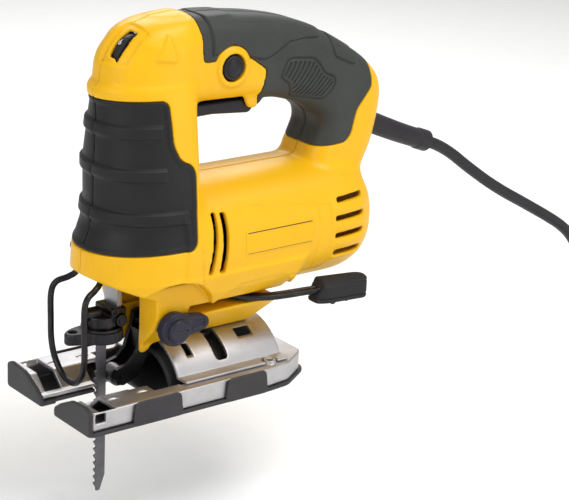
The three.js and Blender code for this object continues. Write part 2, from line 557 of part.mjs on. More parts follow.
const selectorHub = join(rod('y', [17, 30], [SELECTOR.x, SELECTOR.z], 5, 20),
  rod('y', [27.3, 33], [SELECTOR.x, SELECTOR.z], 9, 24), rod('y', [32, 37], [SELECTOR.x, SELECTOR.z], 6.4, 20));
const selectorArm = prism('y', [27.3, 33], outline([[SELECTOR.x, SELECTOR.z - 4.5],
  ...circlePoints([SELECTOR.x - SELECTOR.reach + 4.5, SELECTOR.z + 1], 4.5, 7, -Math.PI / 2, -Math.PI),
  [SELECTOR.x, SELECTOR.z + 8]]));
place('pendulum_lever', join(selectorHub, selectorArm), 'bluePlastic');

// ---------------------------------------------------------------- wire guard ahead of the blade
const guardHalf = [[9, 11, 78], [9, 11, 70], [13, 12.5, 66.5], [19, 15, 64], [21.5, 16, 58], [21.5, 16.2, 44],
  [21.2, 16, 32], [20.6, 13.5, 23], [20, 7.5, 16]];
const guardLine = [...guardHalf, [19.8, 0, 13.6], ...guardHalf.map(([x, y, z]) => [x, -y, z]).reverse()];
place('wire_guard', wire(guardLine, 1.65, 34), 'blackSteel');

// ---------------------------------------------------------------- shoe
function mirrored(points) {
  return points.map(([y, z]) => [-y, z]).reverse();
}
const mirroredPair = (make) => join(make((points) => points), make(mirrored));

const { half, low, top, thick } = PLATE;
const sideRail = [[27, top - thick], [half - thick, top - thick], [half - thick, low], [half, low], [half, top],
  [27, top]];
const frontSide = [[BLADE_SLOT.half, low], [14, low], [22.5, top - thick], [half - thick, top - thick],
  [half - thick, low], [half, low], [half, top], [21.5, top], [13, low + thick], [BLADE_SLOT.half, low + thick]];
const rearPlan = outline([[-113, -24], [-113, 24], [-110, 28], [-95, 38.2], [-80, 45], [40, 45], [40, -45],
  [-80, -45], [-95, -38.2], [-110, -28]]);
const rearTop = box([PLATE.rear, ARCH.rear + 1.5], [-half, half], [top - thick, top]);
const frontPans = mirroredPair((turn) => prism('x', [-28, PLATE.front], outline(turn(frontSide))));
const sideRails = mirroredPair((turn) => prism('x', [-108, -27], outline(turn(sideRail))));
const fenceSlots = box([22.8, 28.8], [-60, 60], [low + 4.2, top - 2.2]);
const guardReliefs = mirroredPair((turn) => prism('x', [16.5, 26.5],
  outline(turn([[12.6, 4.5], [14.2, 4.4], [14.2, 0], [37.2, 0], [37.2, 9.4], [38.7, 12.7], [38.7, 20],
    [12.6, 20]]))));
const rollerRelief = box([-12.6, BLADE_SLOT.front], [-22.5, 22.5], [0, 20]);
const footRelief = box([-30.5, -12.5], [-30.2, 30.2], [0, 20]);
const eyeletAt = [-86, 32];
const eyelet = rod('z', [top - 1, top + 1.8], eyeletAt, 3.4, 18);
const plate = meet(join(frontPans, sideRails, rearTop, eyelet), prism('z', [-5, 30], rearPlan));
place('shoe_plate', cut(plate, fenceSlots, guardReliefs, rollerRelief, footRelief,
  rod('z', [0, 30], eyeletAt, 1.7, 14), rod('x', [ARCH.rear - 2.3, -12.5], [0, 0], 28.2, 40)), 'steel');

// Pressed arch that turns about the sole's middle line, with feet on the plate and a slot for the clamp bolt.
const archInner = ARCH.radius - ARCH.thick;
const arch = tube('x', [ARCH.rear, ARCH.front], [0, 0], ARCH.radius, archInner, 64);
const feet = mirroredPair((turn) => prism('x', [ARCH.rear + 2, ARCH.front - 1],
  outline(turn([[26, top + GAP], [34, top + GAP], [34, top + 1.7], [27, top + 1.7]]))));
const boltSlot = cut(box([BEVEL_PIVOT_X - 3.9, BEVEL_PIVOT_X + 3.9], [-24.5, 24.5], [10, 40]),
  rod('x', [-80, -40], [0, 0], 10, 12));
place('shoe_bracket', cut(join(meet(arch, box([-130, 0], [-40, 40], [top + GAP, 40])), feet), boltSlot,
  rod('z', [10, 20], eyeletAt, 3.8, 18)), 'steel');

// Plastic overshoe: sole, two flanges on each side, and a cap on each front prong.
const solePlan = outline([[SOLE.front, -SOLE.half + 1.5], [SOLE.front, SOLE.half - 1.5],
  [SOLE.front - 1.5, SOLE.half], [-79, SOLE.half], [-93.7, 39.5], [-111.5, 28.5], [SOLE.rear, 24],
  [SOLE.rear, -24], [-111.5, -28.5], [-93.7, -39.5], [-79, -SOLE.half], [SOLE.front - 1.5, -SOLE.half]]);
const soleSlot = outline([[BLADE_SLOT.rear, -BLADE_SLOT.rollerHalf], [BLADE_SLOT.rear, BLADE_SLOT.rollerHalf],
  [BLADE_SLOT.front, BLADE_SLOT.rollerHalf], [BLADE_SLOT.front, 8], [24, 8], [29, BLADE_SLOT.mouthHalf],
  [40, BLADE_SLOT.mouthHalf], [40, -BLADE_SLOT.mouthHalf], [29, -BLADE_SLOT.mouthHalf], [24, -8], [BLADE_SLOT.front, -8],
  [BLADE_SLOT.front, -BLADE_SLOT.rollerHalf]]);
const soleSheet = cut(prism('z', [0, SOLE.thick], solePlan), prism('z', [-1, 5], soleSlot));
const capHalf = [[BLADE_SLOT.mouthHalf, 0], [SOLE.half - 1.5, 0], [SOLE.half - 1.5, 14], [36, 15.5], [23, 14.5],
  [12, 9], [BLADE_SLOT.mouthHalf, 5]];
const caps = mirroredPair((turn) => prism('x', [PLATE.front + GAP, SOLE.front], outline(turn(capHalf))));
const flanges = [[-24, 7.2], [-79, -51]].map((span) => mirroredPair((turn) =>
  prism('x', span, outline(turn([[half + GAP, 0.5], [SOLE.half, 0.5], [SOLE.half, 13.2], [half + GAP, 13.2]])))));
place('shoe_cover', join(soleSheet, caps, ...flanges), 'greyPlastic');

// Dust duct under the arch.
const ductRing = tube('x', [-99, -29], [0, 0], 23.4, 21.4, 40);
place('dust_duct', meet(ductRing, box([-100, -20], [-30, 30], [3, 30])), 'greyPlastic');

// ---------------------------------------------------------------- bevel lever and its clamp bolt
const boltHead = rod('z', [24, 26.4], [BEVEL_PIVOT_X, 0], 7, 20);
place('bevel_bolt', join(boltHead, rod('z', [25, 54], [BEVEL_PIVOT_X, 0], 3, 16),
  rod('z', [52, 54.8], [BEVEL_PIVOT_X, 0], 4.7, 6)), 'darkSteel');
const LEVER_Z = [48, 51];
const leverPlan = [...circlePoints([BEVEL_PIVOT_X, 0], 9, 9, Math.PI * 0.15, -Math.PI * 1.1),
  [-72, 14], [-86, 26], [-112, 30.5], [-138, 35.5], [-138, 40.5], [-111, 36.5], [-82, 32], [-66, 22]];
const leverStrip = cut(prism('z', LEVER_Z, outline(leverPlan)), rod('z', [40, 60], [BEVEL_PIVOT_X, 0], 3.3, 20));
place('bevel_lever', leverStrip, 'darkSteel');
const gripPlan = [[-111.5, 29.5], [-116, 28.5], [-140, 33.5], [-143.5, 36], [-143.5, 42], [-141, 44], [-117, 41],
  [-111.5, 38]];
const leverGrip = prism('z', [42.5, 55.5], outline(gripPlan), 1.5);
const gripSocket = prism('z', [LEVER_Z[0] - GAP, LEVER_Z[1] + GAP], outline([[-100, 28.1], [-112, 30.2],
  [-138.4, 35.1], [-138.4, 40.9], [-111, 36.9], [-100, 35.2]]));
place('lever_grip', cut(leverGrip, gripSocket), 'rubber');

// ---------------------------------------------------------------- lead: strain relief, cord, coil, plug
const reliefLine = [[-158, 0, 134.8], [-172, 0, 128.3], [-196, 0, 118.2], [-219, 0, 109.6]];
const relief = wire(reliefLine, 6.4, 8, 12);
place('strain_relief', relief, 'rubber');

// The coil lies flat beside the lead; the lead comes down onto its outer turn, and the plug lies on the turns.
const [coilX, coilY] = CORD.centre;
const coilHalf = CORD.turns * CORD.radius;
const outerTurn = CORD.coil + coilHalf - CORD.radius;
const TANGENT = 27; // how far along the tangent the cord stays clear of the coil's solid
const leadLine = [
  [-219.3, 0, 109.4], [-227, 0, 106.2], [-238, 0, 100], [-252, 0, 90], [-276, 0, 74], [-307, 0, 56.5],
  [-325, -0.2, 46.3], [-338, -0.6, 38.2], [-347.5, -1.2, 30.4], [-355.4, -1.9, 20.4], [-364, -3, 4.3],
  [-373, -4.2, -12.7], [-382, -5.4, -29.6], [-390.2, -6.6, -44.4], [coilX + TANGENT, coilY - outerTurn + 0.3, -54.3]];
place('cord_lead', wire(leadLine, CORD.radius, 36, 8), 'rubber');

const coilSpan = [CORD.floor, CORD.floor + 2 * CORD.radius * CORD.layers];
place('cord_coil', tube('z', coilSpan, CORD.centre, CORD.coil + coilHalf, CORD.coil - coilHalf, 36), 'rubber');

// Generic two-pin plug: a narrow neck, a flat body and two round pins.
const PLUG = { x: coilX + 6, y: coilY + 30, z: CORD.floor + 2 * CORD.radius * CORD.layers + 9.2 };
const plugSide = [[0, 3.6], [13, 6], [19, 9], [43, 9.2], [43, -9.2], [19, -9], [13, -6], [0, -3.6]];
const plugBody = prism('z', [PLUG.z - 9, PLUG.z + 9], outline(plugSide.map(([x, y]) => [PLUG.x + x, PLUG.y + y])), 2);
const pins = [-5.5, 5.5].map((y) => rod('x', [PLUG.x + 41, PLUG.x + 63], [PLUG.y + y, PLUG.z], 2.4, 12));
place('plug', join(plugBody, ...pins), 'blackPlastic');

export default saw;
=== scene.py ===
"""A corded jigsaw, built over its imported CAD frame.

Forms are drawn in millimetres about the blade's axis, as the CAD's are, and placed in the row frame in
metres. Moulded and pressed pieces are distance fields on a grid, turned into meshes; wires are tubes and
the cord is a curve.
"""
import json
import math

import bpy
import numpy as np
import openvdb
from mathutils import Matrix, Vector


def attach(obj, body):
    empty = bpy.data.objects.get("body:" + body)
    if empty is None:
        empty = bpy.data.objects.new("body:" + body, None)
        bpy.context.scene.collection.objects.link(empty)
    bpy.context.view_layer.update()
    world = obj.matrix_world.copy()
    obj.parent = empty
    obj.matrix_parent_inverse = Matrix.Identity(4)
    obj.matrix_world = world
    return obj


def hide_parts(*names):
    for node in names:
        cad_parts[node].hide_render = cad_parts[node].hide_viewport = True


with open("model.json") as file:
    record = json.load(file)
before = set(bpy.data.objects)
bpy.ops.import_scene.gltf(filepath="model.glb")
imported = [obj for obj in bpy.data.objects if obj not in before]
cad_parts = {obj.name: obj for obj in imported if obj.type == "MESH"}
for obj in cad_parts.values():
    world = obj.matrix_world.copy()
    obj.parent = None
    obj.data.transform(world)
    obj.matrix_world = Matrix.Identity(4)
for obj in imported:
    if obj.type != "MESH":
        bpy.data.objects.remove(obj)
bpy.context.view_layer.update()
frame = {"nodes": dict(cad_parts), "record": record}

AHEAD = 41.0  # the blade's axis ahead of the row frame's origin
MOTOR_Z = 83.0
HANDLE_HALF = 19.0
LOCK = (-64.5, 174.5)  # lock button's x and z
DIAL = (-12.0, 184.0)  # speed wheel's x and z
FLOOR_Z = -66.0
DEEP_INSIDE = -50  # a field value that leaves the other field to decide


def place(x, y, z):
    """A point about the blade's axis, in millimetres, to the row frame, in metres."""
    return Vector(((x + AHEAD) / 1000, y / 1000, z / 1000))


# ---------------------------------------------------------------- camera, floor and lights
def make_camera():
    azimuth, elevation, roll = (math.radians(v) for v in (141.31, 18.98, 2.59))
    back = Vector((math.sin(azimuth) * math.cos(elevation), -math.cos(azimuth) * math.cos(elevation),
                   math.sin(elevation)))
    level = Vector((math.cos(azimuth), math.sin(azimuth), 0))
    upward = back.cross(level)
    right = level * math.cos(roll) + upward * math.sin(roll)
    up = upward * math.cos(roll) - level * math.sin(roll)
    camera = bpy.data.objects.new("camera", bpy.data.cameras.new("camera"))
    bpy.context.collection.objects.link(camera)
    turn = Matrix((right, up, back)).transposed()
    camera.matrix_world = Matrix.Translation(place(514.7, 790.5, 409.5)) @ turn.to_4x4()
    camera.data.lens = 122.9
    camera.data.sensor_width = 36
    camera.data.clip_end = 20
    bpy.context.scene.camera = camera


def make_light(name, position, size, power, color=(1, 1, 1)):
    data = bpy.data.lights.new(name, "AREA")
    data.shape = "DISK"
    data.size = size
    data.energy = power
    data.color = color
    light = bpy.data.objects.new(name, data)
    bpy.context.collection.objects.link(light)
    light.location = position
    aim = Vector((-0.03, 0, 0.09)) - Vector(position)
    light.rotation_euler = aim.to_track_quat("-Z", "Y").to_euler()


def make_studio():
    make_light("key", (-0.35, 0.55, 1.25), 0.7, 10)
    make_light("front", (1.1, 0.35, 0.55), 0.8, 4.5)
    make_light("side", (-0.5, 1.2, 0.35), 0.9, 3)
    make_light("back", (-0.6, -0.9, 0.9), 0.8, 6)
    bpy.context.scene.view_settings.view_transform = "Standard"
    world = bpy.data.worlds.new("studio")
    bpy.context.scene.world = world
    world.use_nodes = True
    nodes = world.node_tree.nodes
    nodes["Background"].inputs["Color"].default_value = (1, 1, 1, 1)
    nodes["Background"].inputs["Strength"].default_value = 0.5
    mesh = bpy.data.meshes.new("floor")
    z = FLOOR_Z / 1000
    mesh.from_pydata([(-6, -6, z), (6, -6, z), (6, 6, z), (-6, 6, z)], [], [(0, 1, 2, 3)])
    floor = bpy.data.objects.new("floor", mesh)
    bpy.context.collection.objects.link(floor)
    paper = plain_material("paper", (0.98, 0.98, 0.97), 0.9, fleck=0.01, grain=0.0, grain_size=1)
    mesh.materials.append(paper)


# ---------------------------------------------------------------- materials
def start_material(name):
    material = bpy.data.materials.new(name)
    material.use_nodes = True
    tree = material.node_tree
    return material, tree.nodes, tree.links, tree.nodes["Principled BSDF"]


def noise(nodes, links, size, detail=2.0, stretch=(1, 1, 1)):
    """A noise texture in the row frame whose features are about size millimetres."""
    coordinates = nodes.new("ShaderNodeTexCoord")
    mapping = nodes.new("ShaderNodeMapping")
    mapping.inputs["Scale"].default_value = [1000 / size * s for s in stretch]
    texture = nodes.new("ShaderNodeTexNoise")
    texture.inputs["Scale"].default_value = 1
    texture.inputs["Detail"].default_value = detail
    links.new(coordinates.outputs["Object"], mapping.inputs["Vector"])
    links.new(mapping.outputs["Vector"], texture.inputs["Vector"])
    return texture.outputs["Fac"]


def spread(nodes, links, source, low, high, lowest=0.3, highest=0.7):
    """A factor mapped from its usual range to low..high."""
    node = nodes.new("ShaderNodeMapRange")
    node.inputs["From Min"].default_value = lowest
    node.inputs["From Max"].default_value = highest
    node.inputs["To Min"].default_value = low
    node.inputs["To Max"].default_value = high
    links.new(source, node.inputs["Value"])
    return node.outputs["Result"]


def blend_color(nodes, links, factor, first, second):
    node = nodes.new("ShaderNodeMix")
    node.data_type = "RGBA"
    links.new(factor, node.inputs["Factor"])
    for socket, value in (("A", first), ("B", second)):
        target = [i for i in node.inputs if i.name == socket and i.type == "RGBA"][0]
        if isinstance(value, (tuple, list)):
            target.default_value = (*value, 1)
        else:
            links.new(value, target)
    return [o for o in node.outputs if o.type == "RGBA"][0]


def bump(nodes, links, shader, height, depth):
    node = nodes.new("ShaderNodeBump")
    node.inputs["Strength"].default_value = 1
    node.inputs["Distance"].default_value = depth / 1000
    links.new(height, node.inputs["Height"])
    links.new(node.outputs["Normal"], shader.inputs["Normal"])


def plain_material(name, color, roughness, fleck=0.05, grain=0.02, grain_size=0.6, worn=0.0, coat=0.0):
    """Moulded plastic or rubber: slight mottling, a fine moulded grain, and paler convex edges."""
    material, nodes, links, shader = start_material(name)
    mottle = spread(nodes, links, noise(nodes, links, 14, 3), 0, 1)
    dark = tuple(c * (1 - fleck) for c in color)
    light = tuple(min(1, c * (1 + fleck)) for c in color)
    base = blend_color(nodes, links, mottle, dark, light)
    if worn:
        # Convex edges, found by the surface's pointiness, are blended towards a paler copy of the colour.
        geometry = nodes.new("ShaderNodeNewGeometry")
        edge = spread(nodes, links, geometry.outputs["Pointiness"], 0, worn, 0.52, 0.62)
        pale_edge_color = tuple(min(1, c * 1.15 + 0.07) for c in color)
        base = blend_color(nodes, links, edge, base, pale_edge_color)
    links.new(base, shader.inputs["Base Color"])
    smudge = spread(nodes, links, noise(nodes, links, 22, 4), roughness - 0.05, roughness + 0.06)
    links.new(smudge, shader.inputs["Roughness"])
    shader.inputs["Specular IOR Level"].default_value = 0.24
    if coat:
        shader.inputs["Coat Weight"].default_value = coat
        shader.inputs["Coat Roughness"].default_value = 0.3
    if grain:
        bump(nodes, links, shader, noise(nodes, links, grain_size, 1), grain)
    return material


def metal_material(name, color, roughness, brushed=None, scratch=0.01, tarnish=0.25):
    """Worked metal: brush lines along an axis, cloudy tarnish and uneven gloss."""
    material, nodes, links, shader = start_material(name)
    clouds = spread(nodes, links, noise(nodes, links, 9, 5), 0, 1)
    dull = tuple(c * (1 - tarnish) for c in color)
    links.new(blend_color(nodes, links, clouds, dull, color), shader.inputs["Base Color"])
    shader.inputs["Metallic"].default_value = 1
    stretch = {"x": (0.04, 1, 1), "y": (1, 0.04, 1), "z": (1, 1, 0.04), None: (1, 1, 1)}[brushed]
    lines = noise(nodes, links, 0.35 if brushed else 0.9, 3, stretch)
    links.new(spread(nodes, links, lines, roughness - 0.07, roughness + 0.1), shader.inputs["Roughness"])
    if scratch:
        bump(nodes, links, shader, lines, scratch)
    return material


def make_materials():
    plain, metal = plain_material, metal_material
    return {
        "yellow": plain("yellow_plastic", (0.84, 0.455, 0.004), 0.4, 0.02, 0.012, 0.5, worn=0.15, coat=0.1),
        "soft_grip": plain("soft_grip", (0.013, 0.013, 0.013), 0.5, 0.08, 0.03, 0.45, worn=0.5),
        "handle_grip": plain("handle_grip", (0.042, 0.045, 0.042), 0.52, 0.08, 0.03, 0.45, worn=0.4),
        "black": plain("black_plastic", (0.016, 0.015, 0.019), 0.38, 0.08, 0.015, 0.5, worn=0.5),
        "inner_black": plain("inner_black_plastic", (0.03, 0.03, 0.03), 0.5, 0.1, 0.02, 0.7),
        "rubber": plain("black_rubber", (0.018, 0.018, 0.02), 0.6, 0.1, 0.03, 0.4, worn=0.4),
        "cord": plain("cord_sheath", (0.024, 0.022, 0.025), 0.5, 0.1, 0.015, 0.5),
        "cover": plain("overshoe_plastic", (0.038, 0.036, 0.039), 0.45, 0.1, 0.03, 0.6, worn=0.6),
        "blue_grey": plain("lever_plastic", (0.02, 0.019, 0.034), 0.4, 0.08, 0.015, 0.5, worn=0.5),
        "duct": plain("duct_plastic", (0.035, 0.035, 0.037), 0.55, 0.1, 0.02, 0.6),
        "board": plain("circuit_board", (0.02, 0.16, 0.07), 0.4, 0.25, 0.02, 1.5),
        "carbon": plain("pressed_carbon", (0.03, 0.03, 0.032), 0.7, 0.3, 0.03, 0.4),
        "label": plain("blank_label", (0.84, 0.455, 0.004), 0.3, 0.02, 0.0, 1.0),
        "shoe_steel": metal("pressed_steel", (0.52, 0.51, 0.52), 0.46, "x", 0.0015, 0.12),
        "steel": metal("ground_steel", (0.66, 0.65, 0.64), 0.28, "x", 0.003, 0.15),
        "plunger_steel": metal("plunger_steel", (0.4, 0.4, 0.42), 0.38, "z", 0.003, 0.2),
        "blade_steel": metal("blade_steel", (0.17, 0.165, 0.175), 0.38, "x", 0.006, 0.3),
        "dark_steel": metal("hardened_steel", (0.22, 0.215, 0.22), 0.38, None, 0.01, 0.35),
        "black_steel": metal("blackened_steel", (0.045, 0.043, 0.045), 0.36, None, 0.008, 0.35),
        "spring": metal("spring_wire", (0.55, 0.55, 0.56), 0.25, None, 0.002, 0.2),
        "aluminium": metal("cast_aluminium", (0.62, 0.63, 0.64), 0.5, None, 0.03, 0.2),
        "lamination": metal("sheet_stack", (0.33, 0.33, 0.35), 0.45, "x", 0.01, 0.3),
        "copper": metal("enamelled_copper", (0.72, 0.33, 0.14), 0.33, "x", 0.02, 0.3),
        "brass": metal("drawn_brass", (0.78, 0.58, 0.24), 0.3, "y", 0.004, 0.2),
        "white": plain("dial_print", (0.8, 0.8, 0.8), 0.5, 0.02, 0.0, 1.0),
    }


# ---------------------------------------------------------------- distance fields
class Grid:
    """Sample points through a box, in millimetres about the blade's axis."""

    def __init__(self, x, y, z, voxel):
        self.low = np.array([x[0], y[0], z[0]], float)
        self.voxel = voxel
        axes = [np.arange(s[0], s[1] + voxel, voxel, dtype=np.float32) for s in (x, y, z)]
        self.x, self.y, self.z = np.meshgrid(*axes, indexing="ij", sparse=True)
        self.shape = tuple(len(a) for a in axes)

    def flat(self, axis):
        """The two coordinates that are not along the axis."""
        return {"x": (self.y, self.z), "y": (self.x, self.z), "z": (self.x, self.y)}[axis]


def union(a, b, k=0.0):
    if not k:
        return np.minimum(a, b)
    h = np.clip(0.5 + 0.5 * (b - a) / k, 0, 1)
    return b * (1 - h) + a * h - k * h * (1 - h)


def meet(a, b, k=0.0):
    return -union(-a, -b, k)


def cut(a, b, k=0.0):
    return -union(-a, b, k)


def many(fields, k=0.0):
    result = fields[0]
    for field in fields[1:]:
        result = union(result, field, k)
    return result


def even(field, grid):
    """The field divided by its slope, so that it measures distance near its surface."""
    slopes = np.gradient(np.broadcast_to(field, grid.shape), grid.voxel)
    length = np.sqrt(sum(s * s for s in slopes))
    return field / np.clip(length, 0.25, 4)


def rim(flat, across, r):
    """An extrusion of a flat field, its rims rounded."""
    u, v = flat + r, across + r
    outside = np.sqrt(np.maximum(u, 0) ** 2 + np.maximum(v, 0) ** 2)
    return np.minimum(np.maximum(u, v), 0) + outside - r


def slab(values, span):
    return np.abs(values - (span[0] + span[1]) / 2) - (span[1] - span[0]) / 2


def block(grid, x, y, z, r=0.0):
    q = [slab(values, span) + r for values, span in ((grid.x, x), (grid.y, y), (grid.z, z))]
    outside = np.sqrt(sum(np.maximum(v, 0) ** 2 for v in q))
    return np.minimum(np.maximum(np.maximum(q[0], q[1]), q[2]), 0) + outside - r


def disc(grid, axis, centre, radius):
    u, v = grid.flat(axis)
    return np.hypot(u - centre[0], v - centre[1]) - radius


def rod(grid, axis, span, centre, radius, r=0.0):
    return rim(disc(grid, axis, centre, radius), slab(getattr(grid, axis), span), r)


def polygon(u, v, points):
    """The signed distance to a closed outline, negative inside."""
    best = np.full(np.broadcast(u, v).shape, 1e9, np.float32)
    inside = np.zeros(best.shape, bool)
    for (x0, y0), (x1, y1) in zip(points, list(points[1:]) + [points[0]]):
        dx, dy = x1 - x0, y1 - y0
        if dx * dx + dy * dy < 1e-9:
            continue
        t = np.clip(((u - x0) * dx + (v - y0) * dy) / (dx * dx + dy * dy), 0, 1)
        best = np.minimum(best, (u - x0 - t * dx) ** 2 + (v - y0 - t * dy) ** 2)
        if dy:
            crossing = ((v >= y0) != (v >= y1)) & (u < x0 + (v - y0) * dx / dy)
            inside ^= crossing
    return np.where(inside, -1, 1) * np.sqrt(best)


def prism(grid, axis, span, points, r=0.0):
    u, v = grid.flat(axis)
    return rim(polygon(u, v, points), slab(getattr(grid, axis), span), r)


def line(u, v, points):
    """The distance to an open polyline."""
    best = np.full(np.broadcast(u, v).shape, 1e9, np.float32)
    for (x0, y0), (x1, y1) in zip(points, points[1:]):
        dx, dy = x1 - x0, y1 - y0
        t = np.clip(((u - x0) * dx + (v - y0) * dy) / (dx * dx + dy * dy), 0, 1)
        best = np.minimum(best, (u - x0 - t * dx) ** 2 + (v - y0 - t * dy) ** 2)
    return np.sqrt(best)


def fillet(points, radius, steps=5, closed=True):
    """An outline with its corners rounded."""
    result = []
    count = len(points)
    for i, corner in enumerate(points):
        if not closed and i in (0, count - 1):
            result.append(tuple(corner))
            continue
        p = Vector(corner)
        before, after = Vector(points[i - 1]) - p, Vector(points[(i + 1) % count]) - p
        reach = min(radius, before.length * 0.48, after.length * 0.48)
        start, end = p + before.normalized() * reach, p + after.normalized() * reach
        for k in range(steps + 1):
            t = k / steps
            q = start * (1 - t) ** 2 + p * 2 * t * (1 - t) + end * t ** 2
            result.append((q.x, q.y))
    return result


def spline(points, per=6):
    """Points on a smooth curve through the given ones."""
    p = np.array([points[0], *points, points[-1]], float)
    result = []
    for i in range(1, len(p) - 2):
        for t in np.arange(per) / per:
            a, b, c, d = p[i - 1], p[i], p[i + 1], p[i + 2]
            result.append(0.5 * (2 * b + (c - a) * t + (2 * a - 5 * b + 4 * c - d) * t ** 2
                                 + (3 * b - a - 3 * c + d) * t ** 3))
    return [tuple(q) for q in result] + [tuple(p[-2])]


def sample(values, where):
    """Values of a grid array at fractional places, between its points."""
    base = np.clip(np.floor(where).astype(int), 0, np.array(values.shape) - 2)
    t = (where - base).astype(np.float32)
    total = 0
    for corner in np.ndindex(2, 2, 2):
        weight = np.prod([t[:, i] if corner[i] else 1 - t[:, i] for i in range(3)], axis=0)
        i, j, k = (base + corner).T
        total = total + weight * values[i, j, k]
    return total


def mesh_field(name, field, grid, adaptivity=0.0):
    """The surface where the field is zero, shaded by the field's own slope."""
    field = np.ascontiguousarray(np.broadcast_to(field, grid.shape), np.float32)
    band = 3 * grid.voxel
    volume = openvdb.FloatGrid(background=band)
    volume.copyFromArray(np.clip(field, -band, band))
    points, triangles, quads = volume.convertToPolygons(isovalue=0, adaptivity=adaptivity)
    slopes = np.gradient(field, grid.voxel)
    normals = np.stack([sample(s, points) for s in slopes], 1)
    normals /= np.maximum(np.linalg.norm(normals, axis=1, keepdims=True), 1e-6)
    places = (points * grid.voxel + grid.low + (AHEAD, 0, 0)) / 1000
    faces = triangles.tolist() + quads.tolist()
    mesh = bpy.data.meshes.new(name)
    mesh.from_pydata(places.tolist(), [], faces)
    mesh.shade_smooth()
    mesh.validate()
    if len(mesh.vertices) == len(normals):
        mesh.normals_split_custom_set_from_vertices(normals.tolist())
    return mesh


def add_piece(name, mesh, body, material, node=None):
    """A piece that rides on a body and may stand for a CAD node."""
    piece = bpy.data.objects.new(name, mesh)
    bpy.context.collection.objects.link(piece)
    if material:
        mesh.materials.append(material)
    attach(piece, body)
    if node:
        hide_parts(*([node] if isinstance(node, str) else node))
    return piece


def add_field(name, field, grid, body, material, node=None, adaptivity=0.0):
    return add_piece(name, mesh_field(name, field, grid, adaptivity), body, material, node)


# ---------------------------------------------------------------- housing
NOSE_ROWS = [  # height, nose x, half-width, plan squareness
    (57, 12, 32, 2.2), (70, 14.5, 36, 2.1), (84, 14.2, 36, 2.0), (86.5, 14, 36, 2.0), (97, 9.6, 33.6, 2.1),
    (108, 8, 33, 2.1), (130, 7.8, 31.5, 2.3), (152, 6.8, 28.5, 2.1), (162, 7, 26.5, 1.9),
    (164.5, 7.9, 26.0, 1.95), (167.6, 8.2, 25.4, 2.0), (169.9, 7.2, 24.6, 2.05), (171.2, 4.7, 22.9, 2.2),
    (174.5, 4.2, 22.3, 2.3), (180, 3.8, 21.6, 2.3), (185, 2.2, 20.6, 2.3), (189, -0.2, 19.4, 2.2),
    (193.5, -4, 17.4, 2.2), (197, -8.7, 15, 2.2), (199.7, -15.5, 11.5, 2.0), (201.7, -23, 7, 2.0)]
HEAD_X = -30.0  # widest section of the head
HEAD_BACK = 12.0
BARREL_HALF, BARREL_HIGH, BARREL_REAR, BARREL_ROUND = 36.0, 33.0, -163.0, -128.0
TOP_LINE = [(-13, 191), (-22, 196.4), (-32, 199.4), (-43, 200.9), (-63, 199.8), (-91, 196.8),
            (-120, 189.6), (-150, 174), (-164, 163.5),
            (-170, 154), (-170.5, 141), (-166, 121), (-160, 107), (-158, 96)]
HAND_OPENING = [(-41, 97), (-40.2, 113), (-37.2, 121), (-36.4, 142), (-38, 150.5), (-43, 156.6),
                (-80, 155.6),
                (-84.6, 153.6), (-96, 153.6), (-107, 150.6), (-119, 146.5),
                (-127.5, 140), (-129, 134), (-125.5, 126), (-122, 119), (-121, 97)]
FOOT_SECTION = [(0, 24), (12, 24), (12, 30.8), (22, 41), (27, 49.5), (33, 60), (35.5, 70), (0, 70)]
FOOT_SIDE = [(-24, 74), (-15.5, 62), (-15.5, 36), (-13.5, 32), (-14, 27.5), (-17, 25), (-21, 26),
             (-24, 29.5),
             (-88, 29.5), (-102, 57), (-106, 74)]
WALL = 3.2
SOFT = 2.0  # depth of the moulded-on grips

FRONT_AREA = [(40, 162.8), (24, 163.5), (-18.8, 163.8), (-21.2, 161.8), (-21.8, 142), (-25.5, 133.5),
              (-31.8, 131), (-34.6, 126), (-35, 108), (-33, 90), (-30.5, 87), (-10, 86.2), (10, 85.4),
              (40, 85)]
HANDLE_AREA = [(-44, 215), (-44.8, 196), (-45.6, 186), (-46, 179), (-76, 178.5), (-87, 171), (-84, 158),
               (-85, 140), (-112, 130),
               (-116, 122.5), (-142, 124.5), (-145.5, 128), (-149, 141.5), (-158.5, 153), (-159.5, 164),
               (-163, 190), (-120, 215)]
BAND_TOPS = [(152, -17.5), (130.5, -18.5), (107.7, -31)]  # height of each grip ledge and where it ends
BIG_PANEL = [(-50.6, 206), (-51.2, 199), (-51.6, 190), (-51.8, 181.6), (-57.5, 183.0),
             (-64.5, 186.6), (-72.8, 179.7), (-84.6, 176.4), (-88.9, 177.4), (-94.7, 180.7), (-101, 184),
             (-111, 184.8), (-122.5, 183.7), (-125.9, 185.5), (-127.5, 193), (-92, 212), (-60, 215)]
REAR_PANEL = [(-131, 190), (-131.6, 178.1), (-132.1, 172.9), (-144.8, 167.2), (-148.7, 167.2),
              (-148.7, 182)]
PALM_PATCH = [(-96.2, 165.5), (-99.3, 173.2), (-103.1, 175.2), (-117.9, 173.6), (-122.1, 169.6),
              (-125.1, 164.9),
              (-132.2, 161.9), (-133.1, 158.6), (-129.7, 153.4), (-124.9, 150.4), (-104.3, 154.2),
              (-101.5, 161.9)]
POSTS = [(-32, 187), (-133, 169), (-150, 118), (-92, 44), (5, 80.5)]  # screws' x and z


def row_values(z):
    """The head's nose, half-width and squareness at each height."""
    rows = np.array(NOSE_ROWS)
    fine = np.linspace(rows[0, 0], rows[-1, 0], 300)
    result = []
    for column in (1, 2, 3):
        values = np.interp(fine, rows[:, 0], rows[:, column])
        kernel = np.exp(-0.5 * (np.arange(-8, 9) / 1.6) ** 2)
        padded = np.pad(values, 8, mode="edge")
        smooth = np.convolve(padded, kernel / kernel.sum(), mode="valid")
        result.append(np.interp(z, fine, smooth).astype(np.float32))
    return result


